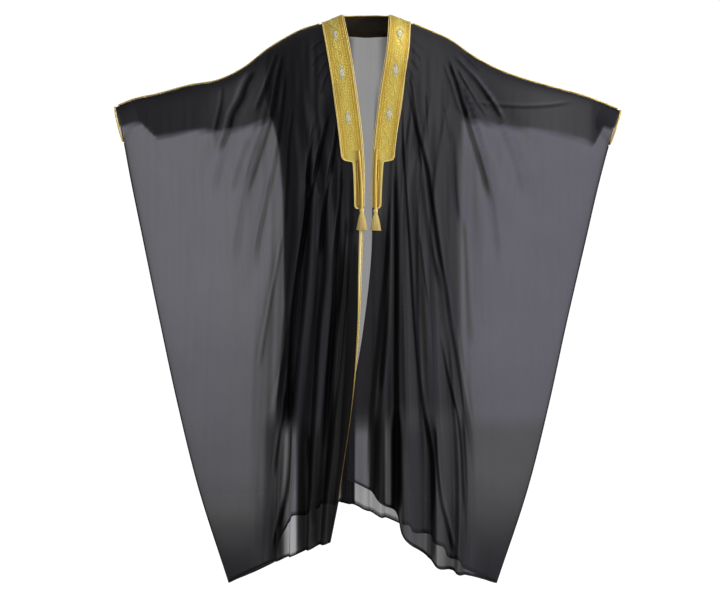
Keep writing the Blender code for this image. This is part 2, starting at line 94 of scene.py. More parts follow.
class Wiring:
    """A node tree that is built by calls."""

    def __init__(self, tree):
        self.tree = tree

    def node(self, kind, settings=None, inputs=None, output=0):
        """Adds a node: its settings first, then the values or links of its sockets."""
        made = self.tree.nodes.new(kind)
        for name, value in (settings or {}).items():
            setattr(made, name, value)
        for name, value in (inputs or {}).items():
            if isinstance(value, Wired):
                self.tree.links.new(value.socket, made.inputs[name])
            else:
                made.inputs[name].default_value = value
        return Wired(self, made.outputs[output]) if len(made.outputs) else None

    def maths(self, operation, *values):
        return self.node("ShaderNodeMath", {"operation": operation}, dict(enumerate(values)))

    def vector(self, operation, first, second):
        return self.node("ShaderNodeVectorMath", {"operation": operation}, {0: first, 1: second})

    def scaled(self, vector, amount):
        return self.node("ShaderNodeVectorMath", {"operation": "SCALE"}, {0: vector, 3: amount})

    def mix(self, factor, first, second):
        """Goes from the first colour to the second. A colour is three numbers or a link."""
        first, second = (tone if isinstance(tone, Wired) else (*tone, 1.0) for tone in (first, second))
        return self.node("ShaderNodeMix", {"data_type": "RGBA"}, {0: factor, 6: first, 7: second}, output=2)

    def step(self, value, low, high):
        """0 at low, 1 at high and a soft step between; low may be the larger."""
        return self.node("ShaderNodeMapRange", {"interpolation_type": "SMOOTHSTEP"},
                         {"Value": value, "From Min": low, "From Max": high})

    def noise(self, place, scale, detail=2.0, roughness=0.5):
        inputs = {"Scale": scale, "Detail": detail, "Roughness": roughness}
        return self.node("ShaderNodeTexNoise", None, {**inputs, "Vector": place} if place else inputs)

    def stretched(self, place, *scale):
        return self.node("ShaderNodeMapping", None, {"Vector": place, "Scale": scale})

    def bump(self, strength, distance, height):
        return self.node("ShaderNodeBump", None, {"Strength": strength, "Distance": distance, "Height": height})

    def place(self, uv_map=None):
        """Where a point lies: in the piece's own coordinates, or on its UV map."""
        if uv_map:
            return self.node("ShaderNodeUVMap", {"uv_map": uv_map})
        return self.node("ShaderNodeTexCoord", None, None, "Object")

    def along(self, vector, axis):
        return self.node("ShaderNodeSeparateXYZ", None, {"Vector": vector}, axis)


def finish(name, recipe):
    """A material. recipe(wiring) returns the sockets of its Principled shader."""
    made = bpy.data.materials.new(name)
    made.use_nodes = True
    made.node_tree.nodes.clear()
    wiring = Wiring(made.node_tree)
    shader = wiring.node("ShaderNodeBsdfPrincipled", None, recipe(wiring))
    wiring.node("ShaderNodeOutputMaterial", None, {"Surface": shader})
    return made


def in_scene(made):
    bpy.context.scene.collection.objects.link(made)
    return made


def looking(place, aim):
    """The turn of a lamp or a camera that looks from one place at another."""
    return (Vector(aim) - Vector(place)).to_track_quat("-Z", "Y").to_euler()


def add_piece(name, points, faces, material, edges=()):
    """A smooth mesh object at the origin."""
    mesh = bpy.data.meshes.new(name)
    mesh.from_pydata([tuple(map(float, p)) for p in points], [tuple(map(int, e)) for e in edges],
                     [tuple(map(int, f)) for f in faces])
    mesh.update()
    if material:
        mesh.materials.append(material)
    mesh.shade_smooth()
    return in_scene(bpy.data.objects.new(name, mesh))


def ring_quads(sides, rings):
    """The quads between rings of points, with the same number of points on each ring."""
    here = np.arange(sides * (rings - 1)).reshape(-1, sides)
    after = np.roll(here, -1, axis=1)
    return np.stack([here + sides, after + sides, after, here], axis=-1).reshape(-1, 4)


def paper_white(w):
    tone = w.mix(w.noise(None, 3.0), (0.12, 0.12, 0.12), (0.14, 0.14, 0.14))
    return {"Base Color": tone, "Roughness": 0.9, "Emission Color": (1.0, 1.0, 1.0, 1.0),
            "Emission Strength": 1.0, "Specular IOR Level": 0.1}


around = np.linspace(0, TURN, PAPER_SIDES + 1)[:-1]
paper_points = [(radius * math.cos(a), radius * math.sin(a), FLOOR) for radius in PAPER_RINGS for a in around]
paper_faces = [range(PAPER_SIDES), *ring_quads(PAPER_SIDES, len(PAPER_RINGS))]
add_piece("paper_floor", paper_points, paper_faces, finish("paper_white", paper_white))

for name, (place, width, power) in SOFT_BOXES.items():
    lamp = bpy.data.lights.new(name, "AREA")
    lamp.energy, lamp.size = power, width
    holder = in_scene(bpy.data.objects.new(name, lamp))
    holder.location, holder.rotation_euler = place, looking(place, CLOAK_MIDDLE)

room = bpy.data.worlds.new("white_room")
bpy.context.scene.world = room
room.use_nodes = True
room.node_tree.nodes.clear()
air = Wiring(room.node_tree)
seen = air.node("ShaderNodeLightPath", None, None, "Is Camera Ray")
light = air.node("ShaderNodeBackground", None,
                 {"Color": (1.0, 1.0, 1.0, 1.0), "Strength": ROOM_LIGHT + ROOM_GLOW * seen})
air.node("ShaderNodeOutputWorld", None, {"Surface": light})

lens = bpy.data.cameras.new("camera")
lens.lens, lens.sensor_width = LENS, SENSOR
camera = in_scene(bpy.data.objects.new("camera", lens))
camera.location, camera.rotation_euler = CAMERA_PLACE, looking(CAMERA_PLACE, CAMERA_AIM)
bpy.context.scene.camera = camera
bpy.context.scene.view_settings.view_transform = "Standard"


# ------------------------------------------------------------------ the voile: right front, left front and back
# Thin black voile, cut in three panels and sewn along the arms and down the sides. Each panel hangs from the
# shoulders in rounded pleats, with smaller pinched folds between them. Where it is gathered it is less sheer.
# Its density also holds painted shade over the body, the arms and the legs inside the cloak, and along the small
# folds, and a painted highlight on the rims beside them.
SIDES = {"right": -1.0, "left": 1.0}
SEAM = 0.0005  # each layer stays this far from the plane of the seams
ARM_LINE = {  # top of the arms and shoulders: distance from the middle, height
    "right": (
        (0.000, 0.029), (0.030, 0.028), (0.062, 0.021), (0.112, 0.001), (0.177, -0.021), (0.211, -0.039),
        (0.258, -0.068), (0.320, -0.116), (0.383, -0.147), (0.463, -0.162), (0.548, -0.185), (0.611, -0.199),
        (0.656, -0.217),
    ),
    "left": (
        (0.000, 0.029), (0.030, 0.028), (0.062, 0.021), (0.113, 0.002), (0.164, -0.019), (0.221, -0.045),
        (0.278, -0.085), (0.345, -0.121), (0.404, -0.143), (0.480, -0.165), (0.564, -0.188), (0.620, -0.208),
        (0.664, -0.226),
    ),
}
SIDE_SEAM = {  # level down the panel, distance from the middle
    "right": (
        (0.00, 0.656), (0.07, 0.636), (0.14, 0.620), (0.28, 0.585), (0.45, 0.542), (0.62, 0.497),
        (0.80, 0.442), (1.00, 0.363),
    ),
    "left": (
        (0.00, 0.664), (0.07, 0.637), (0.14, 0.614), (0.28, 0.574), (0.45, 0.526), (0.62, 0.481),
        (0.80, 0.426), (1.00, 0.345),
    ),
}
# Stations across a front: 0 edge, 1 band, 2-4 pleats, 5 wing, 6 side. Across a back: 0 centre, 1 neck,
# 2 collar, 3-5 pleats, 6 wing, 7 side. Rows: level, then the distance of each station but the side.
SECTIONS = {
    "front_right": (
        (0.00, 0.062, 0.113, 0.153, 0.195, 0.238, 0.290), (0.07, 0.044, 0.100, 0.130, 0.168, 0.210, 0.258),
        (0.14, 0.029, 0.087, 0.110, 0.139, 0.174, 0.222), (0.28, 0.008, 0.060, 0.086, 0.116, 0.150, 0.200),
        (0.45, 0.012, 0.046, 0.073, 0.115, 0.160, 0.208), (0.62, 0.021, 0.049, 0.088, 0.134, 0.182, 0.220),
        (0.80, 0.039, 0.064, 0.102, 0.147, 0.200, 0.232), (1.00, 0.071, 0.092, 0.120, 0.156, 0.201, 0.238),
    ),
    "front_left": (
        (0.00, 0.062, 0.113, 0.153, 0.195, 0.238, 0.290), (0.07, 0.055, 0.105, 0.131, 0.167, 0.208, 0.256),
        (0.14, 0.040, 0.094, 0.114, 0.142, 0.177, 0.222), (0.28, 0.018, 0.067, 0.088, 0.116, 0.153, 0.208),
        (0.45, 0.014, 0.050, 0.078, 0.124, 0.180, 0.234), (0.62, -0.008, 0.036, 0.078, 0.142, 0.208, 0.252),
        (0.80, -0.037, 0.020, 0.078, 0.157, 0.228, 0.268), (1.00, -0.046, 0.012, 0.076, 0.162, 0.226, 0.264),
    ),
    "back_right": (
        (0.00, 0.000, 0.062, 0.113, 0.153, 0.195, 0.238, 0.290),
        (0.14, 0.000, 0.054, 0.096, 0.136, 0.168, 0.205, 0.252),
        (0.28, 0.000, 0.050, 0.084, 0.124, 0.154, 0.190, 0.230),
        (0.62, 0.000, 0.048, 0.076, 0.118, 0.144, 0.182, 0.222),
        (1.00, 0.000, 0.052, 0.082, 0.132, 0.161, 0.210, 0.244),
    ),
    "back_left": (
        (0.00, 0.000, 0.062, 0.113, 0.153, 0.195, 0.238, 0.290),
        (0.14, 0.000, 0.046, 0.096, 0.132, 0.172, 0.206, 0.252),
        (0.28, 0.000, 0.040, 0.088, 0.116, 0.160, 0.188, 0.230),
        (0.62, 0.000, 0.036, 0.088, 0.114, 0.166, 0.194, 0.236),
        (1.00, 0.000, 0.040, 0.098, 0.128, 0.188, 0.220, 0.262),
    ),
}
HEM = {  # height of the hem at each station
    "front_right": (-1.232, -1.338, -1.347, -1.363, -1.384, -1.400, -1.470),
    "front_left": (-1.178, -1.206, -1.262, -1.385, -1.425, -1.440, -1.470),
    "back_right": (-1.296, -1.274, -1.276, -1.288, -1.304, -1.322, -1.425, -1.470),
    "back_left": (-1.296, -1.312, -1.330, -1.352, -1.380, -1.412, -1.440, -1.470),
}
EVEN_HEM, UNEVEN_FROM = -1.338, 0.45  # above this level the fronts hang as if their hems were even
PLEATS = {  # first station, depth at the hem, lean, level where it starts
    "front_right": ((1, 0.034, 0.10, 0.30), (2, 0.044, 0.20, 0.12), (3, 0.055, 0.26, 0.10), (4, 0.047, 0.20, 0.08)),
    "front_left": ((1, 0.057, -0.12, 0.34), (2, 0.075, -0.28, 0.14), (3, 0.062, -0.14, 0.12), (4, 0.047, -0.12, 0.08)),
    "back_right": ((0, 0.057, 0.10, 0.16), (1, 0.034, 0.26, 0.28), (2, 0.057, 0.24, 0.14), (3, 0.034, 0.20, 0.24),
                   (4, 0.055, 0.26, 0.10), (5, 0.042, 0.18, 0.08)),
    "back_left": ((0, 0.044, -0.12, 0.24), (1, 0.062, -0.20, 0.16), (2, 0.034, 0.18, 0.26), (3, 0.065, 0.26, 0.12),
                  (4, 0.036, 0.22, 0.18), (5, 0.047, 0.18, 0.08)),
}
CREASES = {  # distance and height of one end, of the other, half width, depth: + stands out, - sinks in
    "front_right": (
        (0.250, -0.105, 0.262, -0.290, 0.024, -0.014), (0.272, -0.100, 0.420, -0.400, 0.030, 0.016),
        (0.385, -0.160, 0.400, -0.300, 0.022, -0.010), (0.245, -0.300, 0.330, -0.640, 0.034, 0.014),
        (0.090, -0.180, 0.155, -0.470, 0.018, -0.012), (0.228, -0.520, 0.300, -0.900, 0.030, -0.012),
    ),
    "front_left": (
        (0.215, -0.080, 0.268, -0.280, 0.022, -0.014), (0.240, -0.090, 0.370, -0.480, 0.028, 0.016),
        (0.262, -0.110, 0.430, -0.330, 0.026, -0.012), (0.235, -0.300, 0.290, -0.620, 0.034, 0.014),
        (0.105, -0.180, 0.175, -0.560, 0.018, -0.012), (0.240, -0.700, 0.282, -1.180, 0.030, -0.014),
    ),
    "back_right": (
        (0.240, -0.110, 0.275, -0.330, 0.026, 0.014), (0.275, -0.120, 0.420, -0.420, 0.030, -0.014),
        (0.250, -0.420, 0.330, -0.800, 0.034, 0.012),
    ),
    "back_left": (
        (0.230, -0.110, 0.270, -0.330, 0.026, -0.014), (0.265, -0.120, 0.430, -0.440, 0.030, 0.014),
        (0.250, -0.420, 0.310, -0.820, 0.034, 0.012),
    ),
}
# Small folds, in millimetres: half width at the first point, at the last, depth, then the line, as distance from
# the middle and drop for each of its points. The cloth sinks in along the line and stands out beside it.
FOLDS = {
    "front_right": (
        (4, 8, 6, 122, 230, 135, 290, 145, 350, 149, 440, 156, 530, 169, 610, 180, 680, 192, 770, 203, 840, 216,
         910, 232, 980, 248, 1060),
        (4, 6, 7, 86, 220, 102, 270, 118, 340, 133, 410, 148, 480, 160, 560, 171, 630, 180, 710, 188, 800, 194, 880,
         197, 980, 199, 1090),
        (4, 5, 6, 72, 250, 81, 330, 94, 400, 105, 470, 112, 540, 117, 620),
        (3, 8, 6, 64, 340, 66, 440, 73, 530, 80, 620, 82, 720, 88, 820, 96, 910, 104, 1010, 110, 1120),
        (4, 7, 6, 38, 380, 40, 560, 48, 660, 59, 780, 70, 900, 82, 1000, 94, 1130, 100, 1240),
        (6, 6, 3, 50, 500, 60, 620, 71, 760),
        (3, 4, 3, 27, 550, 34, 720, 40, 940, 44, 1050),
        (3, 4, 3, 186, 220, 196, 300, 203, 430, 207, 540),
        (4, 7, 7, 212, 80, 223, 130, 236, 200, 247, 250, 262, 300, 285, 370, 315, 460),
        (4, 6, 5, 203, 130, 212, 200, 222, 280, 236, 370, 258, 470, 280, 570, 290, 660),
        (4, 5, 5, 228, 80, 248, 140, 266, 190, 287, 240),
        (8, 7, 9, 284, 120, 310, 160, 325, 200, 346, 240, 360, 290, 385, 350),
        (4, 4, 4, 370, 160, 378, 220, 388, 260, 400, 310),
        (5, 7, 3, 300, 290, 325, 360, 350, 450),
        (4, 6, 4, 214, 540, 228, 620, 248, 720, 268, 830, 282, 920),
        (4, 5, 4, 204, 940, 212, 1020, 224, 1080, 232, 1130, 237, 1190),
        (5, 6, 8, 194, 1030, 196, 1120, 200, 1180, 208, 1235, 220, 1285, 232, 1335, 243, 1390),
        (5, 6, 3, 146, 1060, 142, 1180, 132, 1300),
        (3, 3, 2, 110, 55, 128, 68, 146, 88),
        (3, 3, 2, 104, 85, 122, 100, 140, 125),
        (3, 3, 2, 100, 112, 113, 130, 125, 158),
        (3, 3, 2, 96, 140, 108, 165, 117, 200),
    ),
    "front_left": (
        (4, 8, 7, 98, 150, 113, 210, 125, 260, 133, 300, 144, 340, 157, 390, 165, 450, 174, 510, 182, 570, 194, 640,
         204, 700, 216, 770, 230, 840, 243, 910, 255, 980, 272, 1070, 285, 1180),
        (3, 3, 3, 108, 140, 117, 190, 123, 230, 131, 280),
        (4, 6, 4, 129, 270, 136, 350, 143, 430, 153, 510, 166, 590, 180, 650, 194, 710),
        (3, 5, 6, 91, 190, 93, 300, 98, 400, 106, 500, 113, 600, 118, 690, 124, 780, 131, 860, 140, 940, 153, 1030,
         168, 1120, 172, 1220, 166, 1330),
        (5, 8, 8, 73, 320, 77, 500, 78, 700, 78, 900, 80, 1100, 84, 1300),
        (4, 5, 6, 59, 400, 56, 530, 50, 640, 41, 730, 31, 840, 19, 960, 11, 1080),
        (5, 7, 5, 57, 520, 56, 640, 52, 740, 45, 840, 36, 960),
        (3, 4, 4, 196, 110, 210, 150, 227, 200, 241, 235, 252, 250),
        (4, 7, 7, 206, 85, 218, 125, 233, 165, 244, 200, 255, 235, 268, 280, 284, 330, 305, 400, 325, 480),
        (3, 4, 4, 230, 120, 250, 155, 272, 190, 292, 220, 315, 250),
        (5, 5, 6, 222, 85, 250, 118, 278, 147, 302, 178, 322, 205, 342, 235, 358, 265),
        (3, 3, 3, 238, 72, 268, 103, 300, 132),
        (4, 4, 3, 255, 212, 330, 217, 410, 222, 480, 218, 550, 206),
        (3, 5, 5, 190, 800, 202, 870, 214, 930, 226, 980, 239, 1030, 248, 1100, 252, 1180, 257, 1290),
        (3, 4, 3, 134, 550, 142, 620, 150, 680, 159, 740, 163, 800),
        (7, 6, 3, 216, 260, 222, 340, 228, 430, 240, 530),
        (3, 3, 2, 194, 220, 207, 260, 216, 320),
        (3, 3, 2, 152, 190, 154, 250, 156, 310),
        (6, 8, 3, 252, 500, 262, 620, 268, 740, 276, 860),
        (4, 5, 6, 175, 1030, 180, 1130, 187, 1200, 196, 1250, 207, 1290, 219, 1340, 230, 1390),
        (3, 3, 2, 112, 50, 128, 62, 148, 80),
        (3, 3, 2, 108, 72, 124, 88, 140, 108),
        (3, 3, 2, 105, 98, 120, 116, 133, 138),
        (3, 3, 2, 102, 124, 112, 140, 120, 162),
    ),
    "back_right": (
        (4, 7, 7, 20, 100, 34, 400, 28, 800, 32, 1200),
        (4, 7, 7, 75, 90, 70, 400, 62, 800, 70, 1180),
        (4, 8, 7, 120, 100, 112, 250, 104, 450, 98, 800, 110, 1200),
        (4, 7, 6, 180, 120, 155, 300, 140, 500, 132, 850, 148, 1220),
        (4, 8, 6, 225, 140, 196, 300, 178, 450, 168, 850, 190, 1240),
        (5, 8, 6, 240, 100, 262, 200, 292, 320, 330, 500, 352, 660),
        (4, 7, 5, 290, 130, 330, 220, 372, 320, 410, 460),
    ),
    "back_left": (
        (4, 7, 7, 30, 110, 22, 400, 20, 800, 22, 1200),
        (4, 7, 7, 85, 90, 66, 400, 60, 800, 66, 1200),
        (4, 8, 7, 130, 120, 112, 280, 104, 450, 100, 800, 112, 1220),
        (4, 7, 6, 180, 130, 152, 300, 140, 480, 140, 850, 158, 1260),
        (4, 8, 6, 228, 150, 196, 300, 178, 450, 180, 850, 204, 1300),
        (5, 8, 6, 238, 100, 255, 160, 300, 300, 340, 520, 356, 660),
        (4, 7, 5, 300, 140, 340, 220, 385, 320, 420, 460),
    ),
}
BODY_DEPTH = {"front": (0.122, 0.150), "back": (0.104, 0.120)}  # stand-off, and the drop over which it is reached
ARM_DEPTH = (0.046, 0.050)
BODY_REACH = (0.140, 0.320)  # the body's depth ends, and the arm's begins, at these distances from the middle
HANG = np.array((  # drop, share of the body depth, share of the arm depth
    (0.00, 1.00, 1.00), (0.20, 1.00, 0.95), (0.45, 1.03, 0.76), (0.85, 1.08, 0.56), (1.30, 1.16, 0.44),
))
EDGE_TUCK = {"front_right": 0.010, "front_left": -0.012}  # low down, the right front laps over the left one
TUCK_STATIONS, TUCK_LEVELS = (1.6, 0.4), (0.45, 0.75)
CUFF_LEVEL, CUFF_HALF_DEPTH = 0.072, 0.029
NECK_HALF_WIDTH, NECK_BACK_DROP = 0.062, 0.031
PLEAT_GROWTH = 0.85  # a pleat opens nearly evenly down its length
CREASE_TAPER = ((-0.15, 0.25), (1.25, 0.6))  # shares of a crease's length over which it starts and ends
FOLD_TAPER = ((0.0, 0.14), (1.0, 0.82))
FOLD_LIP = (0.55, 1.5, 1.1)  # the rim beside a small fold: height, how far aside, width
RIPPLE_HEIGHTS, RIPPLE_LENGTHS = (0.0011, 0.0007), (0.034, 0.0205)
STATION_STEP, LEVEL_STEP = 0.004, 0.0006


def smooth_through(xs, ys, x):
    """A smooth curve through the points (xs, ys), read at x."""
    xs, ys, x = (np.asarray(values, float) for values in (xs, ys, x))
    slope = np.gradient(ys, xs)
    k = np.clip(np.searchsorted(xs, x) - 1, 0, len(xs) - 2)
    span = xs[k + 1] - xs[k]
    f = np.clip((x - xs[k]) / span, 0.0, 1.0)
    start, end = (1 + 2 * f) * (1 - f) ** 2, f * f * (3 - 2 * f)
    return start * ys[k] + end * ys[k + 1] + f * (1 - f) * span * ((1 - f) * slope[k] - f * slope[k + 1])


def line_through(points):
    """A smooth line through a few points, as many short steps."""
    reach = np.concatenate([[0.0], np.cumsum(np.hypot(*np.diff(points, axis=0).T))])
    steps = np.linspace(0.0, reach[-1], 5 * len(points))
    return np.stack([smooth_through(reach, column, steps) for column in points.T], axis=1)


def ease(low, high, x):
    """0 at low, 1 at high and a soft step between; low may be the larger."""
    f = np.clip((np.asarray(x, float) - low) / (high - low), 0.0, 1.0)
    return f * f * (3 - 2 * f)


def read(table, x):
    """A table of pairs, read at x in straight lines."""
    return np.interp(x, *np.array(table).T)


def spaced(*runs):
    """Even runs of numbers that meet end to end. Each is its start, its end and how many."""
    return np.concatenate([np.linspace(*run)[:-1] for run in runs[:-1]] + [np.linspace(*runs[-1])])


def unit(vectors):
    return vectors / np.maximum(np.linalg.norm(vectors, axis=-1, keepdims=True), 1e-12)


def matched(*values):
    """Numbers and arrays, as flat arrays of one length."""
    return (np.asarray(v, float).ravel() for v in np.broadcast_arrays(*values))


class Panel:
    """Half of a voile layer, as a surface over station and level."""

    def __init__(self, layer, side):
        self.name, self.layer, self.side = f"{layer}_{side}", layer, side
        self.sign, self.outward = SIDES[side], -1.0 if layer == "front" else 1.0
        self.sections = np.array(SECTIONS[self.name]).T
        self.seam, self.arm, self.hem = (np.array(t) for t in (SIDE_SEAM[side], ARM_LINE[side], HEM[self.name]))
        self.last = len(self.hem) - 1
        self.folds = [(*fold[:3], line_through(fold[3:].reshape(-1, 2)))
                      for fold in (np.array(row) / 1000 for row in FOLDS[self.name])]

    def across(self, station, level):
        """The distance from the middle of the cloak, before the pleats lean."""
        columns = [smooth_through(self.sections[0], column, level) for column in self.sections[1:]]
        columns = np.array([*columns, smooth_through(self.seam[:, 0], self.seam[:, 1], level)])
        k = np.clip(np.floor(station).astype(int), 0, self.last - 1)
        points = np.arange(level.size)
        return columns[k, points] * (1 - station + k) + columns[k + 1, points] * (station - k)

    def grown(self, depth, begins, level):
        """The depth of a pleat at a level."""
        return depth * np.clip((level - begins) / (1 - begins), 0, 1) ** PLEAT_GROWTH

    def stand_off(self, distance, drop, station, level):
        """How far the plain layer, without pleats, stands off the plane of the shoulder seams."""
        body_depth, body_drop = BODY_DEPTH[self.layer]
        body = ease(BODY_REACH[1], BODY_REACH[0], np.abs(distance))
        depth = ARM_DEPTH[0] * smooth_through(HANG[:, 0], HANG[:, 2], drop) * (1 - body)
        depth += body_depth * smooth_through(HANG[:, 0], HANG[:, 1], drop) * body
        risen = np.clip(drop / (ARM_DEPTH[1] + (body_drop - ARM_DEPTH[1]) * body), 0, 1)
        to_seam = np.clip(station - self.last + 1, 0, 1)
        closed = np.sqrt(np.clip(1 - to_seam**2, 0, 1))
        round_cuff = np.clip(1 - (2 * level / CUFF_LEVEL - 1) ** 2, 0, 1)
        cuff = CUFF_HALF_DEPTH * round_cuff**0.65 * ease(0.55, 1.0, to_seam)
        off = depth * np.sqrt(np.clip(1 - (1 - risen) ** 2, 0, 1)) * closed
        return np.maximum(np.maximum(off, cuff), SEAM)

    def at(self, station, level):
        """Points of the layer's middle surface."""
        station, level = matched(station, level)
        level = np.maximum(level, 0.0)
        top_x = self.across(station, np.zeros_like(level))
        top = smooth_through(self.arm[:, 0], self.arm[:, 1], top_x)
        hem = np.interp(station, range(self.last + 1), self.hem)
        if self.layer == "front":
            even = np.minimum(hem, EVEN_HEM)
            hem = even + (hem - even) * ease(UNEVEN_FROM, 1.0, level)
        fall = (top - hem) * level
        x, z = self.across(station, level), top - fall
        cut = NECK_BACK_DROP * np.clip(1 - (top_x / NECK_HALF_WIDTH) ** 2, 0, 1) * (self.layer == "back")
        off = self.stand_off(x, cut + fall, station, level)
        for first, depth, lean, begins in PLEATS[self.name]:
            swell = (1 - np.cos(TURN * np.clip(station - first, 0, 1))) / 2
            swell = swell * self.grown(depth, begins, level)
            off, x = off + swell, x + swell * lean
        off = off - self.valley(station, level)
        for x0, z0, x1, z1, width, depth in CREASES[self.name]:
            length = math.hypot(x1 - x0, z1 - z0)
            run = ((x1 - x0) / length, (z1 - z0) / length)
            reached = ((x - x0) * run[0] + (z - z0) * run[1]) / length
            aside = ((x - x0) * run[1] - (z - z0) * run[0]) / width
            taper = ease(*CREASE_TAPER[0], reached) * ease(*CREASE_TAPER[1], reached) * ease(0.02, 0.09, level)
            off = off + depth * np.exp(-(aside**2)) * taper
        if self.name in EDGE_TUCK:
            off = off + EDGE_TUCK[self.name] * ease(*TUCK_STATIONS, station) * ease(*TUCK_LEVELS, level)
        off = off + self.pinched(x, z, station, level)
        off = np.where((level <= 0) & (top_x >= NECK_HALF_WIDTH), SEAM, off)
        return np.stack([self.sign * x, self.outward * off, z], axis=1)

    def valley(self, station, level):
        """How far the cloth sinks in where two pleats meet."""
        pleats = PLEATS[self.name]
        total = np.zeros_like(level)
        for k, (first, depth, _, begins) in enumerate(pleats):
            line = first + 0.5
            reach = np.where(station < line, 0.5 if k == 0 else 1.0, 0.5 if k == len(pleats) - 1 else 1.0)
            total += 0.5 * self.grown(depth, begins, level) * np.clip(1 - np.abs(station - line) / reach, 0, 1)
        return total

    def fold_places(self, x, drop):
        """For each small fold: the points near it, half widths aside of its line, how much is left of it, depth."""
        for first, last, depth, line in self.folds:
            margin = 4 * max(first, last)
            low, high = line.min(axis=0) - margin, line.max(axis=0) + margin
            near = np.flatnonzero((x > low[0]) & (x < high[0]) & (drop > low[1]) & (drop < high[1]))
            step = np.diff(line, axis=0)
            length = np.hypot(*step.T)
            gap = np.stack([x[near], drop[near]], axis=1)[:, None] - line[:-1]
            share = np.clip((gap * step).sum(axis=2) / length**2, 0, 1)
            gap = gap - share[..., None] * step
            nearest = (np.arange(near.size), np.hypot(gap[..., 0], gap[..., 1]).argmin(axis=1))
            reached = (np.cumsum(length) - length)[nearest[1]] + share[nearest] * length[nearest[1]]
            reached = reached / length.sum()
            aside = np.cross(gap[nearest], step[nearest[1]]) / length[nearest[1]]
            beyond = np.sqrt(np.maximum((gap[nearest] ** 2).sum(axis=1) - aside**2, 0.0))
            aside = np.hypot(aside, beyond) * np.where(aside < 0, -1.0, 1.0) / (first + (last - first) * reached)
            yield near, aside, ease(*FOLD_TAPER[0], reached) * ease(*FOLD_TAPER[1], reached), depth

    def pinched(self, x, z, station, level):
        """The small folds, and a faint ripple of the whole cloth."""
        total = np.zeros_like(x)
        lip, lip_aside, lip_width = FOLD_LIP
        for near, aside, left, depth in self.fold_places(x, -z):
            total[near] += depth * left * (lip * np.exp(-((aside - lip_aside) ** 2) / lip_width) - np.exp(-(aside**2)))
        long_wave = x / RIPPLE_LENGTHS[0] + 0.9 * np.sin(2.2 * z + 3.0 * x)
        short_wave = x / RIPPLE_LENGTHS[1] - 0.7 * np.sin(3.1 * z)
        ripple = RIPPLE_HEIGHTS[0] * np.sin(TURN * long_wave + 1.3 * self.sign)
        ripple += RIPPLE_HEIGHTS[1] * np.sin(TURN * short_wave)
        body = ease(0.30, 0.22, x)
        beside_band = ease(0.9, 1.3, station) if self.layer == "front" else ease(0.03, 0.08, level)
        total = (total + ripple * (0.35 + 0.65 * body)) * beside_band
        return total * ease(0.01, 0.06, level) * ease(0.0, 0.25, self.last - station)

    def normals(self, station, level):
        """Unit vectors out of the garment."""
        station, level = matched(station, level)
        across = self.at(station + STATION_STEP, level) - self.at(station - STATION_STEP, level)
        down = self.at(station, level + LEVEL_STEP) - self.at(station, level - LEVEL_STEP)
        return unit(np.cross(across, down)) * self.sign * self.outward

    def on(self, station, level, lift):
        """Points that stand off the cloth's middle by lift."""
        lift = np.broadcast_to(lift, np.broadcast(station, level).shape).ravel()
        return self.at(station, level) + self.normals(station, level) * lift[:, None]


def voile_black(w):
    """Black voile: a plain weave with a faint warp streak, violet where it is sheer, and deep black where dense, which
    is painted shade.
    """
    place = w.place("cloth")
    streak = w.noise(w.stretched(place, 230.0, 5.0, 1.0), 1.0, 3.0, 0.6)
    cloud = w.noise(place, 9.0)
    weave = w.noise(w.stretched(place, 2100.0, 120.0, 1.0), 1.0, 1.0)
    weave += w.noise(w.stretched(place, 120.0, 2100.0, 1.0), 1.0, 1.0)
    density = w.node("ShaderNodeAttribute", {"attribute_name": "cloth_density"}, None, "Fac")
    alpha = 1.0 - 2.718 ** (density * (0.80 + 0.14 * streak + 0.10 * cloud + 0.08 * weave) * -1.03)
    tone = w.mix(streak, (0.0075, 0.0070, 0.0096), (0.0130, 0.0122, 0.0164))
    tone = w.mix(w.step(density, 1.45, 1.05), tone, (0.014, 0.009, 0.036))
    # Painted shade: where the density is high the base colour goes near black, in the folds and over the body, the arms
    # and the legs.
    tone = w.mix(w.step(density, 2.6, 4.5), tone, (0.0028, 0.0027, 0.0034))
    return {"Base Color": tone, "Roughness": 0.60 + 0.12 * cloud, "Specular IOR Level": 0.12, "Alpha": alpha,
            "Normal": w.bump(0.2, 0.0005, streak * 0.6 + weave * 0.4)}


# How dense the cloth is, with 1 where it is flat and single. A density is how many layers it would take.
# Besides real gathers and folds, it also holds painted shade and a painted highlight.
# Over the body: real gathers in the pleats, and painted shade of the cloak's dark inside. The right side, away from the
# light, is denser still as painted shade.
GATHERED_AND_SHADED = {"front_right": 3.3, "front_left": 1.45, "back_right": 2.7, "back_left": 2.0}  # in the pleats
GATHER_BLUR = {"front": 0.004, "back": 0.008}
GATHER_EDGE = {  # drop, distance from the middle at which the pleats begin
    "right": ((0.20, 0.262), (0.26, 0.240), (0.32, 0.224), (0.45, 0.212), (0.74, 0.210), (0.94, 0.226),
              (1.16, 0.246), (1.40, 0.268)),
    "left": ((0.20, 0.262), (0.26, 0.250), (0.34, 0.246), (0.95, 0.246), (1.10, 0.252), (1.40, 0.262)),
}
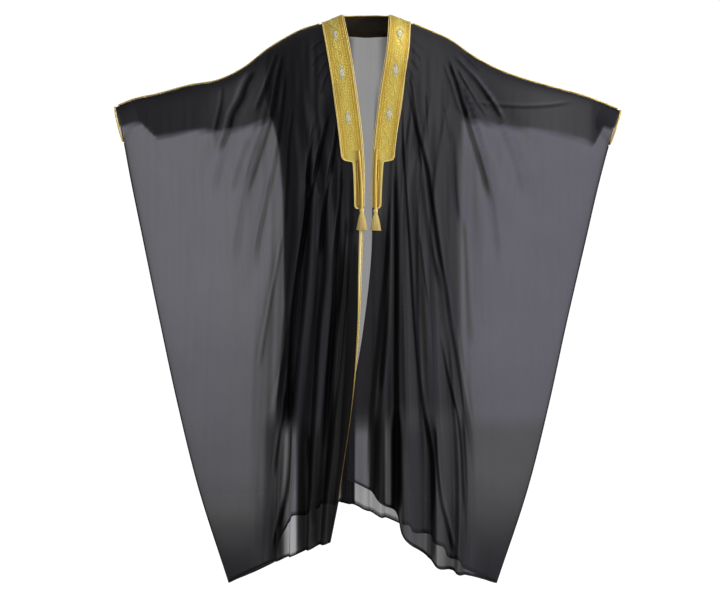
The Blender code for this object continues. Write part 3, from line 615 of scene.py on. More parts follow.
# Along each arm: real bunching, and painted shade where the wearer's arm would be inside the sleeve. The right arm,
# away from the light, is darker.
ARM_BUNCH_AND_SHADE = {  # distance from the middle, how far the cloth is bunched below the arm line, its density
    "right": ((0.15, 0.20, 2.5), (0.232, 0.192, 2.0), (0.323, 0.154, 1.75), (0.400, 0.128, 1.95),
              (0.425, 0.121, 2.3), (0.553, 0.108, 2.4), (0.572, 0.084, 2.4), (0.592, 0.061, 2.4),
              (0.660, 0.056, 2.4)),
    "left": ((0.15, 0.20, 1.8), (0.246, 0.180, 1.8), (0.343, 0.143, 1.7), (0.440, 0.121, 1.45),
             (0.497, 0.114, 1.4), (0.573, 0.112, 1.5), (0.588, 0.114, 1.55), (0.598, 0.114, 2.3),
             (0.610, 0.086, 2.5), (0.620, 0.060, 2.6), (0.670, 0.050, 2.6)),
}
ALONG_EDGE = {"right": (0.7, 0.071, 0.62), "left": (1.2, 0.051, 0.52)}  # denser by, as far as, from this drop
ALONG_EDGE_BLUR = (0.007, 0.06)  # across, down
SMOOTH_PART = {"right": (0.15, 0.148, 0.86), "left": (0.24, 0.176, 0.86)}  # less dense by, at this distance, drop
SMOOTH_REACH = (0.036, 0.20)
# Along each small fold the cloth lies double, and on top of that it is darkened as painted shade.
FOLD_DOUBLING_AND_SHADE = {"right": 1.2, "left": 1.7}
HEM_GROWTH = {"right": 0.7, "left": 0.3}  # how much denser a wing is beside the body at its hem
GROWS_DOWN, GROWS_OUT = (1.19, 1.36), (0.195, 0.215)
WHOLE_SIDE = {"right": 1.0, "left": 1.05}
BUNCHED = {  # drop, density of a wing
    "right": ((0.0, 1.0), (0.70, 1.03), (0.98, 1.14), (1.17, 1.21), (1.30, 1.36), (1.38, 1.85), (1.46, 2.5)),
    "left": ((0.0, 1.0), (0.80, 1.04), (1.05, 1.09), (1.17, 1.13), (1.30, 1.42), (1.38, 1.95), (1.46, 2.5)),
}
# Its dense runs are painted shade where the wearer's legs would stand inside the cloak.
NEAR_HEM_AND_LEG_SHADE = {  # distance from the middle, density of the front layer below the knees
    "right": ((0.060, 4.6), (0.108, 4.6), (0.118, 4.0), (0.160, 4.4), (0.172, 3.6), (0.180, 1.1),
              (0.210, 1.1), (0.222, 2.4), (0.245, 2.3), (0.262, 1.5), (0.285, 1.0)),
    "left": ((-0.033, 1.7), (-0.026, 0.85), (0.006, 0.85), (0.013, 4.6), (0.044, 4.6), (0.050, 1.2),
             (0.062, 1.2), (0.070, 5.2), (0.083, 5.2), (0.092, 3.0), (0.108, 2.5), (0.154, 2.3), (0.161, 3.3),
             (0.175, 3.3), (0.182, 1.8), (0.222, 1.8), (0.236, 2.2), (0.250, 2.1), (0.272, 1.3)),
}
KNEES = (0.99, 1.08)  # the drop over which the pleats let go
BACK_SINGLE, BACK_MIDDLE = 1.15, (0.022, 0.060)  # the back along its middle and below the knees
BACK_PLEAT, BACK_PLEAT_EDGES = 3.6, ((0.029, 0.035), (0.074, 0.062))  # one hangs close behind the right front edge
UNDER_COLLAR = (0.75, (0.024, 0.014), (0.118, 0.108))  # sheerer by, drop, distance: the band is stiff enough there
ARM_BUNCH_AND_SHADE_FROM, ARM_BUNCH_AND_SHADE_BLUR, WING_BLUR = (0.15, 0.22), (0.003, 0.005), (0.03, 0.05)
STEEPEST = 0.36  # least share by which the cloth faces forward or back
LEAST_GATHERED, DENSEST = 1.3, 7.0
# Painted shade along each small fold, where the cloth also lies double, and a painted highlight on the rim beside it.
FOLD_SHADE, RIDGE_HIGHLIGHT_SHAPE = (0.0, 0.85, 1.4), (1.9, 1.0, 1.0)  # how far aside of a fold, width, most
FULL_FOLD = 0.006  # a fold of this depth has its whole shade
# Painted highlight on the rim beside each small fold: how much less dense, and so paler, the cloth is made in the
# pleats and on the arms.
RIDGE_PAINTED_HIGHLIGHT, ARM_RIDGE_PAINTED_HIGHLIGHT = 0.24, 0.52
HEM_ROLL_WIDTH, HEM_ROLL_DENSITY = (0.0052, 0.0038), 1.6


def density_of(panel, points, normals):
    """It rises where the cloth turns away, lies in gathers, is pinched or bunches up, and where shade is painted in; it
    falls where a highlight is painted.
    """
    side, front = panel.side, panel.layer == "front"
    distance, drop = points[..., 0] * panel.sign, -points[..., 2]
    limit, blur = read(GATHER_EDGE[side], drop), GATHER_BLUR[panel.layer]
    inside = ease(limit + blur, limit - blur, distance)
    slant = 1.0 / np.maximum(np.abs(normals[..., 1]), STEEPEST) ** (0.8 - 0.6 * inside)
    below_knees = ease(*KNEES, drop)
    gathers_and_shade = 1 + (GATHERED_AND_SHADED[panel.name] - 1) * inside
    if front:
        more, edge_limit, edge_top = ALONG_EDGE[side]
        aside_blur, down_blur = ALONG_EDGE_BLUR
        beside = ease(edge_limit + aside_blur, edge_limit - aside_blur, distance)
        beside = beside * ease(edge_top - down_blur, edge_top + down_blur, drop)
        less, middle, level = SMOOTH_PART[side]
        smooth = np.exp(-(((distance - middle) / SMOOTH_REACH[0]) ** 2) - ((drop - level) / SMOOTH_REACH[1]) ** 2)
        gathers_and_shade = gathers_and_shade * (1 + more * beside) * (1 - less * smooth)
        growth = HEM_GROWTH[side] * ease(*GROWS_DOWN, drop) * ease(*GROWS_OUT, distance)
        # Below the knees the front follows its table, which holds the painted shade of the legs.
        gathers_and_shade = gathers_and_shade * (1 - below_knees) + below_knees * (read(NEAR_HEM_AND_LEG_SHADE[side], distance) * (1 + growth))
    else:
        gathers_and_shade = BACK_SINGLE + (gathers_and_shade - BACK_SINGLE) * ease(*BACK_MIDDLE, distance) * (1 - below_knees)
        if side == "right":
            starts, ends = BACK_PLEAT_EDGES
            gathers_and_shade = gathers_and_shade + BACK_PLEAT * below_knees * ease(*starts, distance) * ease(*ends, distance)
    top = np.interp(distance, panel.arm[:, 0], panel.arm[:, 1])
    # Painted shade of the arms, together with the real bunching.
    places, reaches, arm_density_and_shade = np.array(ARM_BUNCH_AND_SHADE[side]).T
    reach = np.interp(distance, places, reaches)
    over, under = ARM_BUNCH_AND_SHADE_BLUR
    on_arm = ease(reach + over, reach - under, top - points[..., 2]) * ease(*ARM_BUNCH_AND_SHADE_FROM, distance)
    gathers_and_shade = np.maximum(gathers_and_shade, 1 + (np.interp(distance, places, arm_density_and_shade) - 1) * on_arm)
    wing = ease(limit - WING_BLUR[0], limit + WING_BLUR[1], distance)
    gathers_and_shade = np.maximum(gathers_and_shade, 1 + (read(BUNCHED[side], drop) - 1) * wing)
    fold, ridge_highlight = np.zeros(distance.shape), np.zeros(distance.shape)
    # Two masks: painted shade along each small fold, and a painted highlight on the rim beside it.
    for near, aside, left, depth in panel.fold_places(distance.ravel(), drop.ravel()):
        for shade, (line, width, most) in ((fold, FOLD_SHADE), (ridge_highlight, RIDGE_HIGHLIGHT_SHAPE)):
            mine = left * np.exp(-(((aside - line) / width) ** 2)) * min(most, depth / FULL_FOLD)
            shade.flat[near] = np.maximum(shade.flat[near], mine)
    if not front:
        less, drops, distances = UNDER_COLLAR
        gathers_and_shade = gathers_and_shade * (1 - less * ease(*drops, drop) * ease(*distances, distance))
        fold, ridge_highlight = fold * 0.3, ridge_highlight * 0.3
    fold = fold * (1 - 0.6 * ease(limit - 0.01, limit + 0.02, distance) * (1 - on_arm))
    # Painted highlight: the cloth is made less dense on the rims beside the folds.
    painted_highlight = ridge_highlight * np.maximum(RIDGE_PAINTED_HIGHLIGHT * inside, ARM_RIDGE_PAINTED_HIGHLIGHT * on_arm)
    density = slant * gathers_and_shade * (1 + FOLD_DOUBLING_AND_SHADE[side] * fold) * (1 - painted_highlight) * WHOLE_SIDE[side]
    return np.maximum(density, LEAST_GATHERED * inside * (1 - below_knees))


def grid_faces(rows, columns):
    """The numbers of a grid of points, and the quads between them."""
    index = np.arange(rows * columns).reshape(rows, columns)
    quads = np.stack([index[:-1, :-1], index[1:, :-1], index[1:, 1:], index[:-1, 1:]], axis=-1)
    return index, quads.reshape(-1, 4)


def lay_flat(piece, name, flat):
    """A UV map, from the place of each point on the cutting table."""
    corners = np.empty(len(piece.data.loops), np.int32)
    piece.data.loops.foreach_get("vertex_index", corners)
    layout = piece.data.uv_layers.new(name=name)
    layout.data.foreach_set("uv", flat[corners].astype(np.float32).ravel())


def weave_panel(name, parts, levels, stations):
    """One voile panel from its halves, with its lie on the cutting table as the UV map."""
    blocks = []
    for panel in parts:
        s, l = np.meshgrid(stations, levels)
        points = panel.at(s, l).reshape(*s.shape, 3)
        down, across = np.gradient(points, axis=0), np.gradient(points, axis=1)
        blocks.append((points, density_of(panel, points, unit(np.cross(across, down)))))
    if len(parts) == 2:
        blocks = [[np.concatenate([one[:, ::-1], other[:, 1:]], axis=1) for one, other in zip(*blocks)]]
    points, density = blocks[0]
    rows, columns = points.shape[:2]
    step_down = np.linalg.norm(np.diff(points, axis=0), axis=2)
    step_across = np.linalg.norm(np.diff(points, axis=1), axis=2)
    down = np.concatenate([np.zeros((1, columns)), np.cumsum(step_down, axis=0)])
    over = np.concatenate([np.zeros((rows, 1)), np.cumsum(step_across, axis=1)], axis=1)
    over = over - over[:, columns // 2][:, None]
    rolled_up = ease(*HEM_ROLL_WIDTH, down[-1] - down)
    density = np.minimum(density * (1 + HEM_ROLL_DENSITY * rolled_up), DENSEST)
    quads = grid_faces(rows, columns)[1]
    middle, third = rows // 2, columns // 3
    a, b, c = points[middle, third], points[middle + 1, third], points[middle + 1, third + 1]
    if np.cross(b - a, c - b)[1] * parts[0].outward < 0:
        quads = quads[:, ::-1]
    piece = add_piece(name, points.reshape(-1, 3), quads, voile)
    sheerness = piece.data.attributes.new("cloth_density", "FLOAT", "POINT")
    sheerness.data.foreach_set("value", density.ravel().astype(np.float32))
    lay_flat(piece, "cloth", np.stack([over.ravel(), -down.ravel()], axis=1))
    return piece


voile = finish("black_voile", voile_black)
halves = {name: Panel(*name.split("_")) for name in SECTIONS}
to_side = 1 - (1 - np.linspace(0, 1, 150)) ** 1.2
front_levels = np.concatenate([np.linspace(0.0, 0.27, 40) ** 2,
                               spaced((CUFF_LEVEL + 0.0062, 0.40, 92), (0.40, 1.0, 92))])
front_stations = np.concatenate([spaced((0, 1, 10), (1, 5, 140)), 5 + to_side[1:]])
back_levels = np.concatenate([np.linspace(0.0, 0.27, 14) ** 2, np.linspace(CUFF_LEVEL + 0.008, 1.0, 96)])
back_stations = np.concatenate([np.linspace(0, 6, 150)[:-1], 6 + to_side[::2], [7.0]])
voile_pieces = {}
for name in ("front_right", "front_left"):
    voile_pieces[name] = weave_panel(f"voile_{name}", [halves[name]], front_levels, front_stations)
voile_pieces["back"] = weave_panel(
    "voile_back", [halves["back_right"], halves["back_left"]], back_levels, back_stations)
for name, piece in voile_pieces.items():
    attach(piece, "root")
    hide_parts(name)


# ------------------------------------------------------------------ the rolled hems and the side seams
# The voile is rolled over twice and sewn along the lower hems. A narrow seam joins front and back down each
# side. Both show as thin dark lines, because the cloth lies four times on itself there.
HEM_ROLL = {"radius": 0.0018, "spacing": 0.004}
SEAM_ROLL = {"radius": 0.0015, "spacing": 0.008}


def new_tree(name, sockets, result):
    """A Geometry Nodes tree with named inputs. Returns its wiring and the inputs by name."""
    tree = bpy.data.node_groups.new(name, "GeometryNodeTree")
    for label, kind in sockets.items():
        tree.interface.new_socket(label, in_out="INPUT", socket_type=f"NodeSocket{kind}")
    tree.interface.new_socket(result, in_out="OUTPUT", socket_type="NodeSocketGeometry")
    wiring = Wiring(tree)
    given = tree.nodes.new("NodeGroupInput").outputs
    return wiring, {socket.name: Wired(wiring, socket) for socket in given if socket.name}


def close_tree(wiring, shape, result, material):
    """The tree ends in real, smooth faces of one material."""
    shape = wiring.node("GeometryNodeSetShadeSmooth", None, {"Geometry": shape})
    shape = wiring.node("GeometryNodeRealizeInstances", None, {"Geometry": shape})
    shape = wiring.node("GeometryNodeSetMaterial", None, {"Geometry": shape, "Material": material})
    wiring.node("NodeGroupOutput", None, {result: shape})
    return wiring.tree


def cord_tree():
    """Threads laid round a path. One thread and no lay gives a plain cord."""
    wiring, given = new_tree("laid_cord", {
        "Path": "Geometry", "Threads": "Int", "Thread Radius": "Float", "Lay Radius": "Float", "Turns": "Float",
        "Spacing": "Float", "Sides": "Int", "Material": "Material"}, "Cord")
    path = wiring.node("GeometryNodeMeshToCurve", None, {"Mesh": given["Path"]})
    path = wiring.node("GeometryNodeResampleCurve", {"mode": "LENGTH"}, {"Curve": path, "Length": given["Spacing"]})
    threads = wiring.node("GeometryNodeDuplicateElements", {"domain": "SPLINE"},
                          {"Geometry": path, "Amount": given["Threads"]})
    number = Wired(wiring, threads.socket.node.outputs["Duplicate Index"])
    reached = wiring.node("GeometryNodeSplineParameter", None, None, "Length")
    angle = (reached * given["Turns"] + number / given["Threads"]) * TURN
    up = wiring.node("GeometryNodeInputNormal")
    aside = wiring.vector("CROSS_PRODUCT", wiring.node("GeometryNodeInputTangent"), up)
    offset = wiring.vector("ADD", wiring.scaled(up, wiring.maths("COSINE", angle) * given["Lay Radius"]),
                           wiring.scaled(aside, wiring.maths("SINE", angle) * given["Lay Radius"]))
    laid = wiring.node("GeometryNodeSetPosition", None, {"Geometry": threads, "Offset": offset})
    profile = wiring.node("GeometryNodeCurvePrimitiveCircle", {"mode": "RADIUS"},
                          {"Resolution": given["Sides"], "Radius": given["Thread Radius"]})
    tube = wiring.node("GeometryNodeCurveToMesh", None, {"Curve": laid, "Profile Curve": profile, "Fill Caps": True})
    return close_tree(wiring, tube, "Cord", given["Material"])


def grown(name, seed, tree, values):
    """Runs a node tree on an object once and keeps its result as a plain mesh."""
    grow = seed.modifiers.new("grow", "NODES")
    grow.node_group = tree
    for item in tree.interface.items_tree:
        if item.in_out == "INPUT" and item.name in values:
            grow[item.identifier] = values[item.name]
    result = bpy.data.meshes.new_from_object(seed.evaluated_get(bpy.context.evaluated_depsgraph_get()))
    spent = seed.data
    seed.modifiers.remove(grow)
    seed.data = result
    bpy.data.meshes.remove(spent)
    result.name = name
    return seed


LAID_CORD = cord_tree()


def cord(name, paths, material, radius, spacing, lay=0.0, threads=1, turns=0.0, sides=6, closed=False):
    """A cord along each path: threads of one radius, laid round each other so many turns a metre."""
    points, edges = [], []
    for path in paths:
        first = len(points)
        points += list(path)
        edges += [(k, k + 1) for k in range(first, len(points) - 1)] + ([(len(points) - 1, first)] if closed else [])
    return grown(name, add_piece(name, points, [], None, edges), LAID_CORD, {
        "Threads": threads, "Thread Radius": radius, "Lay Radius": lay, "Turns": turns, "Spacing": spacing,
        "Sides": sides, "Material": material})


def sew_down(pieces):
    """The pieces go with the cloak."""
    for piece in pieces:
        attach(piece, "root")


def rolled_black(w):
    """Four layers of the voile with a line of stitches."""
    lumps = w.noise(w.place(), 420.0)
    return {"Base Color": w.mix(lumps, (0.006, 0.006, 0.008), (0.016, 0.015, 0.020)), "Roughness": 0.7 + 0.1 * lumps,
            "Specular IOR Level": 0.2, "Normal": w.bump(0.4, 0.0004, lumps)}


rolled = finish("black_rolled_hem", rolled_black)
hem_pieces = {}
for side in SIDES:
    panel = halves[f"front_{side}"]
    hem_line = panel.at(np.concatenate([np.linspace(0.0, 5.0, 150), 5 + to_side[1:]]), 1.0)
    seam_line = panel.at(float(panel.last), np.linspace(CUFF_LEVEL + 0.003, 0.999, 120))
    hem_pieces[panel.name] = [cord(f"hem_front_{side}", [hem_line], rolled, **HEM_ROLL),
                              cord(f"side_seam_{side}", [seam_line], rolled, **SEAM_ROLL)]
hem_line = [halves["back_right"].at(back_stations[::-1], 1.0), halves["back_left"].at(back_stations[1:], 1.0)]
hem_pieces["back"] = [cord("hem_back", [np.concatenate(hem_line)], rolled, **HEM_ROLL)]


# ------------------------------------------------------------------ the embroidered collar band
# A stiff band of gold zari embroidery on the voile, down both fronts and round behind the neck. It is wide over
# the chest, ends in a rounded corner and goes on narrow. Couched cords, beads, satin leaves and silver rosettes
# are sewn onto a ground of fine gold stitches.
BAND_LENGTH = 1.359  # drop of the front edge, so that a level of 1 is this far down
BAND_WIDE = 0.058
WIDE_END, FIELD_END, BAND_END = 0.352, 0.354, 0.5055  # drops where the straight edge, the waves and the band end
BAND_LIFT, BAND_WALL = 0.0010, 0.0013
TOP_LIFT = BAND_LIFT + BAND_WALL
BAND_OUTLINE = (  # drop, width from the inner edge
    (0.000, BAND_WIDE), (WIDE_END, BAND_WIDE), (0.360, 0.0568), (0.367, 0.0535), (0.372, 0.0480), (0.3755, 0.0410),
    (0.3790, 0.0330), (0.3820, 0.0285), (0.386, 0.0278), (0.440, 0.0262), (0.494, 0.0240), (0.501, 0.0205),
    (BAND_END, 0.0120),
)
BAND_DROPS = spaced((0, 0.02, 12), (0.02, 0.35, 130), (0.35, 0.388, 36), (0.388, 0.494, 44), (0.494, BAND_END, 9))
BAND_SHARES = np.concatenate([[0, 0.02], np.linspace(0.05, 0.95, 22), [0.98, 1]])
COLLAR_ARC = 0.190  # along the middle of the collar, from shoulder seam to shoulder seam
ROSETTES = {"right": (0.053, 0.153, 0.269), "left": (0.050, 0.147, 0.258)}  # drops of their middles
FIELD_MIDDLE = 0.029
GIMP = {"radius": 0.00085, "lay": 0.00055, "threads": 2, "turns": 210.0, "spacing": 0.0016, "sides": 5}
GIMP_INSETS, RIM_INSET, GIMP_LIFT = (0.0014, 0.0038), 0.0016, TOP_LIFT + 0.0004  # in from the band's edges
COUCHED = {"radius": 0.00055, "lay": 0.00035, "threads": 2, "turns": 300.0, "spacing": 0.0018, "sides": 4}
COUCHED_PLACES, COUCHED_INSET, COUCHED_LIFT = (0.0082, 0.0500), 0.0064, TOP_LIFT + 0.0002
WAVE_HEIGHT, WAVE_LENGTH = 0.0095, 0.062
INNER_LEAF = (0.0030, 0.75, 0.0085, 0.0034, 0.0014)  # from the middle line, lean, length, width, height
OUTER_LEAF = (0.0148, -0.6, 0.0075, 0.0030, 0.0012)
LEAF_STEP, ROSETTE_CLEAR, COLLAR_CLEAR = 0.0075, 0.020, 0.014
ROSETTE_REACH, ROSETTE_LIFT = (0.0042, 0.0062), TOP_LIFT + 0.0006
PETAL, END_LEAF = (0.0110, 0.0058, 0.0018), (0.0085, 0.0044, 0.0018)  # length, width, height
SIDE_LEAF, ROSETTE_BEAD = (0.0070, 0.0030, 0.0016), (0.0062, 0.0062, 0.0034)
EDGE_BEADS, INNER_BEAD = 0.0049, (0.0021, 0.0019, 0.0004)  # from the inner edge; width, height, lift
FIELD_BEADS, FIELD_BEAD = 0.0185, (0.0018, 0.0016, 0.0003)  # from the middle line
NARROW_BEADS, NARROW_BEAD = (0.0135, 0.0022), (0.0030, 0.0026, 0.0006)  # middle and swing of the row


def band_at(side, along, down, lift):
    """A point on a front band: metres from its inner edge, metres down it, metres off the voile."""
    panel = halves[f"front_{side}"]
    along, down, lift = matched(along, down, lift)
    level = down / BAND_LENGTH
    width = np.linalg.norm(panel.at(1.0, level) - panel.at(0.0, level), axis=1)
    return panel.on(along / width, level, lift)


def collar_at(along, down, lift):
    """The same behind the neck. down goes along the collar, from the right shoulder seam to the left one."""
    along, down, lift = matched(along, down, lift)
    share, turn = along / BAND_WIDE, down / (COLLAR_ARC / 2)
    swing = turn * math.pi / 2
    distance = (NECK_HALF_WIDTH + 0.051 * share) * np.abs(np.sin(swing))
    drop = share * 0.053 * np.cos(swing)
    places = np.zeros((along.size, 3))
    for name, mine in (("back_right", turn < 0), ("back_left", turn >= 0)):
        if mine.any():
            panel = halves[name]
            station = np.interp(distance[mine], panel.sections[1:, 0], range(panel.last))
            places[mine] = panel.on(station, drop[mine] / 1.33, lift[mine])
    return places


def thick_strip(name, surface, rows, columns, outline, material):
    """A closed band between two lifts of a surface, with metres across and down as its UV map."""
    down, share = np.meshgrid(rows, columns, indexing="ij")
    along = share * outline(down)
    rim = np.minimum(np.minimum(share, 1 - share) * 24, 1.0) ** 0.5
    top = surface(along, down, BAND_LIFT + BAND_WALL * (0.25 + 0.75 * rim))
    points = np.concatenate([top, surface(along, down, BAND_LIFT)])
    index, quads = grid_faces(*down.shape)
    low = index.size
    ring = np.concatenate([index[:-1, 0], index[-1, :-1], index[1:, -1][::-1], index[0, 1:][::-1]])
    after = np.roll(ring, -1)
    walls = np.stack([after, ring, ring + low, after + low], axis=-1)
    made = add_piece(name, points, np.concatenate([quads, quads[:, ::-1] + low, walls]), material)
    middle = quads[len(quads) // 2]
    a, b, c = points[middle[:3]]
    if np.dot(np.cross(b - a, c - b), a - points[middle[0] + low]) < 0:
        made.data.flip_normals()
    lay_flat(made, "band", np.tile(np.stack([along.ravel(), down.ravel()], axis=1), (2, 1)))
    return made


def zari_ground(w):
    """Rows of fine gold stitches that meet in a chevron, duller beside the cords and bright in the middle."""
    place = w.place("band")
    across, down = w.along(place, "X"), w.along(place, "Y")
    from_middle = w.maths("ABSOLUTE", across - FIELD_MIDDLE)
    stitch = w.maths("SINE", (down + from_middle * 0.8) * (TURN / 0.0016)) * 0.5 + 0.5
    rows = w.maths("SINE", (down - from_middle * 0.8) * (TURN / 0.0078)) * 0.5 + 0.5
    speck = w.noise(place, 700.0, 2.0, 0.7)
    side_tone = w.mix(speck, (0.36, 0.22, 0.020), (0.62, 0.43, 0.06))
    middle_tone = w.mix(speck, (0.50, 0.39, 0.055), (0.82, 0.72, 0.22))
    narrow_tone = w.mix(speck, (0.20, 0.10, 0.012), (0.42, 0.24, 0.03))
    tone = w.mix(w.step(from_middle, 0.019, 0.006) * (0.45 + 0.55 * w.noise(place, 46.0)), side_tone, middle_tone)
    tone = w.mix(w.step(down, 0.376, 0.384) * w.step(across, 0.021, 0.018), tone, narrow_tone)
    tone = w.mix(rows * 0.22, tone, (0.30, 0.19, 0.02))
    return {"Base Color": tone, "Metallic": 0.55, "Roughness": 0.34 + 0.28 * speck,
            "Normal": w.bump(0.55, 0.0006, stitch * 0.5 + rows * 0.8 + speck * 0.5)}


def metal_thread(w, tone, speck, metallic, smooth, spread, relief=0.4):
    """The sockets of a metal thread, with its specks in its relief and its gloss."""
    return {"Base Color": tone, "Metallic": metallic, "Roughness": smooth + spread * speck,
            "Normal": w.bump(relief, 0.0003, speck)}


def cream_zari(w):
    """Pale gold gimp, twisted from fine bright threads."""
    speck = w.noise(w.place(), 900.0)
    return metal_thread(w, w.mix(speck, (0.58, 0.42, 0.09), (0.86, 0.72, 0.30)), speck, 0.35, 0.36, 0.2)


def bright_zari(w):
    """Satin-stitched gold thread."""
    place = w.place()
    speck, patch = w.noise(place, 1100.0), w.noise(place, 70.0, 1.0)
    tone = w.mix(patch * 0.5 + speck * 0.5, (0.58, 0.38, 0.045), (0.90, 0.72, 0.16))
    return metal_thread(w, tone, speck, 0.6, 0.28, 0.25)


def silver_zari(w):
    """Silver-white thread of the rosettes."""
    speck = w.noise(w.place(), 1000.0)
    return metal_thread(w, w.mix(speck, (0.38, 0.36, 0.26), (0.72, 0.70, 0.58)), speck, 0.4, 0.3, 0.25)


def sewn_tree():
    """Places a bead or a pointed leaf of thread at each point of a mesh."""
    wiring, given = new_tree("sewn_on", {
        "Places": "Geometry", "Point": "Float", "Segments": "Int", "Rings": "Int", "Material": "Material"}, "Sewn")
    ball = wiring.node("GeometryNodeMeshUVSphere", None,
                       {"Segments": given["Segments"], "Rings": given["Rings"], "Radius": 0.5})
    here = wiring.node("GeometryNodeInputPosition")
    x, y, z = (wiring.along(here, axis) for axis in "XYZ")
    narrow = 1.0 - given["Point"] * (wiring.maths("ABSOLUTE", z) * 2.0) ** 1.4
    shaped = wiring.node("ShaderNodeCombineXYZ", None, {"X": x * narrow, "Y": y * narrow, "Z": z})
    leaf = wiring.node("GeometryNodeSetPosition", None, {"Geometry": ball, "Position": shaped})
    lie, facing, size = (
        wiring.node("GeometryNodeInputNamedAttribute", {"data_type": "FLOAT_VECTOR"}, {"Name": name})
        for name in ("lie", "facing", "size"))
    turned = wiring.node("FunctionNodeAxesToRotation", {"primary_axis": "Z", "secondary_axis": "Y"},
                         {"Primary Axis": lie, "Secondary Axis": facing})
    placed = wiring.node("GeometryNodeInstanceOnPoints", None, {
        "Points": given["Places"], "Instance": leaf, "Rotation": turned, "Scale": size})
    return close_tree(wiring, placed, "Sewn", given["Material"])


SEWN_ON = sewn_tree()


def sewn(name, surface, motifs, material, point=1.0, rings=5):
    """motifs: rows of metres across, metres down, turn from straight down, length, width, height, lift."""
    across, down, turn, length, width, height, lift = np.array(motifs, float).T
    places = surface(across, down, lift)
    step = 0.0008
    to_down = unit(surface(across, down + step, lift) - surface(across, down - step, lift))
    to_side = surface(across + step, down, lift) - surface(across - step, down, lift)
    facing = unit(np.cross(to_side, to_down))
    raised = surface(across, down, lift + 0.002) - places
    facing = facing * np.where(np.einsum("ij,ij->i", facing, raised) < 0, -1, 1)[:, None]
    lie = to_down * np.cos(turn)[:, None] + unit(to_side) * np.sin(turn)[:, None]
    seed = add_piece(name, places, [], None)
    for label, values in (("lie", lie), ("facing", facing), ("size", np.stack([width, height, length], axis=1))):
        made = seed.data.attributes.new(label, "FLOAT_VECTOR", "POINT")
        made.data.foreach_set("vector", values.astype(np.float32).ravel())
    return grown(name, seed, SEWN_ON, {"Point": point, "Segments": 6, "Rings": rings, "Material": material})


def leaf_pair(down, aside, lean, *size):
    """Two leaves, one on each side of the middle line."""
    return [(FIELD_MIDDLE + sign * aside, down, sign * lean, *size, TOP_LIFT) for sign in (1, -1)]


def rosettes(drops):
    """Eight petals round a bead, a little taller than wide, and three small leaves above and below."""
    rows = []
    for down in drops:
        for a in np.arange(8) * TURN / 8:
            rows.append((FIELD_MIDDLE + ROSETTE_REACH[0] * math.sin(a), down + ROSETTE_REACH[1] * math.cos(a), a,
                         *PETAL, ROSETTE_LIFT))
        for sign in (1, -1):
            rows.append((FIELD_MIDDLE, down + sign * 0.0152, 0.0, *END_LEAF, ROSETTE_LIFT))
            rows += [(FIELD_MIDDLE + aside * 0.0034, down + sign * 0.0128, sign * aside * 0.6, *SIDE_LEAF,
                      ROSETTE_LIFT) for aside in (1, -1)]
    return rows + [(FIELD_MIDDLE, down, 0.0, *ROSETTE_BEAD, ROSETTE_LIFT) for down in drops]


def bead(across, down, width, height, lift):
    return (across, down, 0.0, width, width, height, TOP_LIFT + lift)


def waved_pair(surface, phase, down):
    """Two fine cords that wave round each other up the middle. One passes over the other."""
    swing = WAVE_HEIGHT * np.sin(phase * TURN / WAVE_LENGTH)
    return [surface(FIELD_MIDDLE + swing, down, TOP_LIFT + 0.0006), surface(FIELD_MIDDLE - swing, down, COUCHED_LIFT)]


def band_width(down):
    return read(BAND_OUTLINE, down)


zari = finish("gold_zari_ground", zari_ground)
cream = finish("cream_gimp", cream_zari)
satin = finish("gold_satin_thread", bright_zari)
silver = finish("silver_thread", silver_zari)
for side in SIDES:
    front_surface = partial(band_at, side)
    ground = thick_strip(f"band_{side}", front_surface, BAND_DROPS, BAND_SHARES, band_width, zari)
    outer = np.concatenate([np.linspace(0.001, WIDE_END, 120), np.linspace(WIDE_END, 0.5048, 120)])
    inner, wide = np.linspace(0.001, 0.504, 200), np.linspace(0.001, 0.372, 200)
    edge = cord(f"band_edge_{side}",
                [front_surface(band_width(outer) - inset, outer, GIMP_LIFT) for inset in GIMP_INSETS], cream, **GIMP)
    rim = cord(f"band_rim_{side}", [front_surface(RIM_INSET, inner, GIMP_LIFT)], cream, **GIMP)
    couched = [front_surface(COUCHED_PLACES[0], inner, COUCHED_LIFT),
               front_surface(np.minimum(COUCHED_PLACES[1], band_width(wide) - COUCHED_INSET), wide, COUCHED_LIFT)]
    couched += waved_pair(front_surface, np.linspace(0, WIDE_END, 240), np.linspace(0.002, FIELD_END, 240))
    couching = cord(f"couched_cords_{side}", couched, satin, **COUCHED)
    leaves = []
    for down in np.arange(0.006, WIDE_END, LEAF_STEP):
        if min(abs(down - middle) for middle in ROSETTES[side]) > ROSETTE_CLEAR:
            leaves += leaf_pair(down, *INNER_LEAF)
        leaves += leaf_pair(down + 0.003, *OUTER_LEAF)
    leafage = sewn(f"satin_leaves_{side}", front_surface, leaves, satin)
    roses = sewn(f"rosettes_{side}", front_surface, rosettes(ROSETTES[side]), silver)
    beads = [bead(EDGE_BEADS, down, *INNER_BEAD) for down in np.arange(0.004, 0.500, 0.0042)]
    beads += [bead(FIELD_MIDDLE + sign * FIELD_BEADS, down, *FIELD_BEAD)
              for down in np.arange(0.005, FIELD_END, 0.0052) for sign in (1, -1)]
    beads += [bead(NARROW_BEADS[0] + NARROW_BEADS[1] * math.sin(19 * down / 0.0034), down, *NARROW_BEAD)
              for down in np.arange(0.388, 0.496, 0.0034)]
    beading = sewn(f"beads_{side}", front_surface, beads, satin, point=0.0, rings=4)
    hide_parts(f"collar_{side}")
    sew_down([ground, edge, rim, couching, leafage, roses, beading])

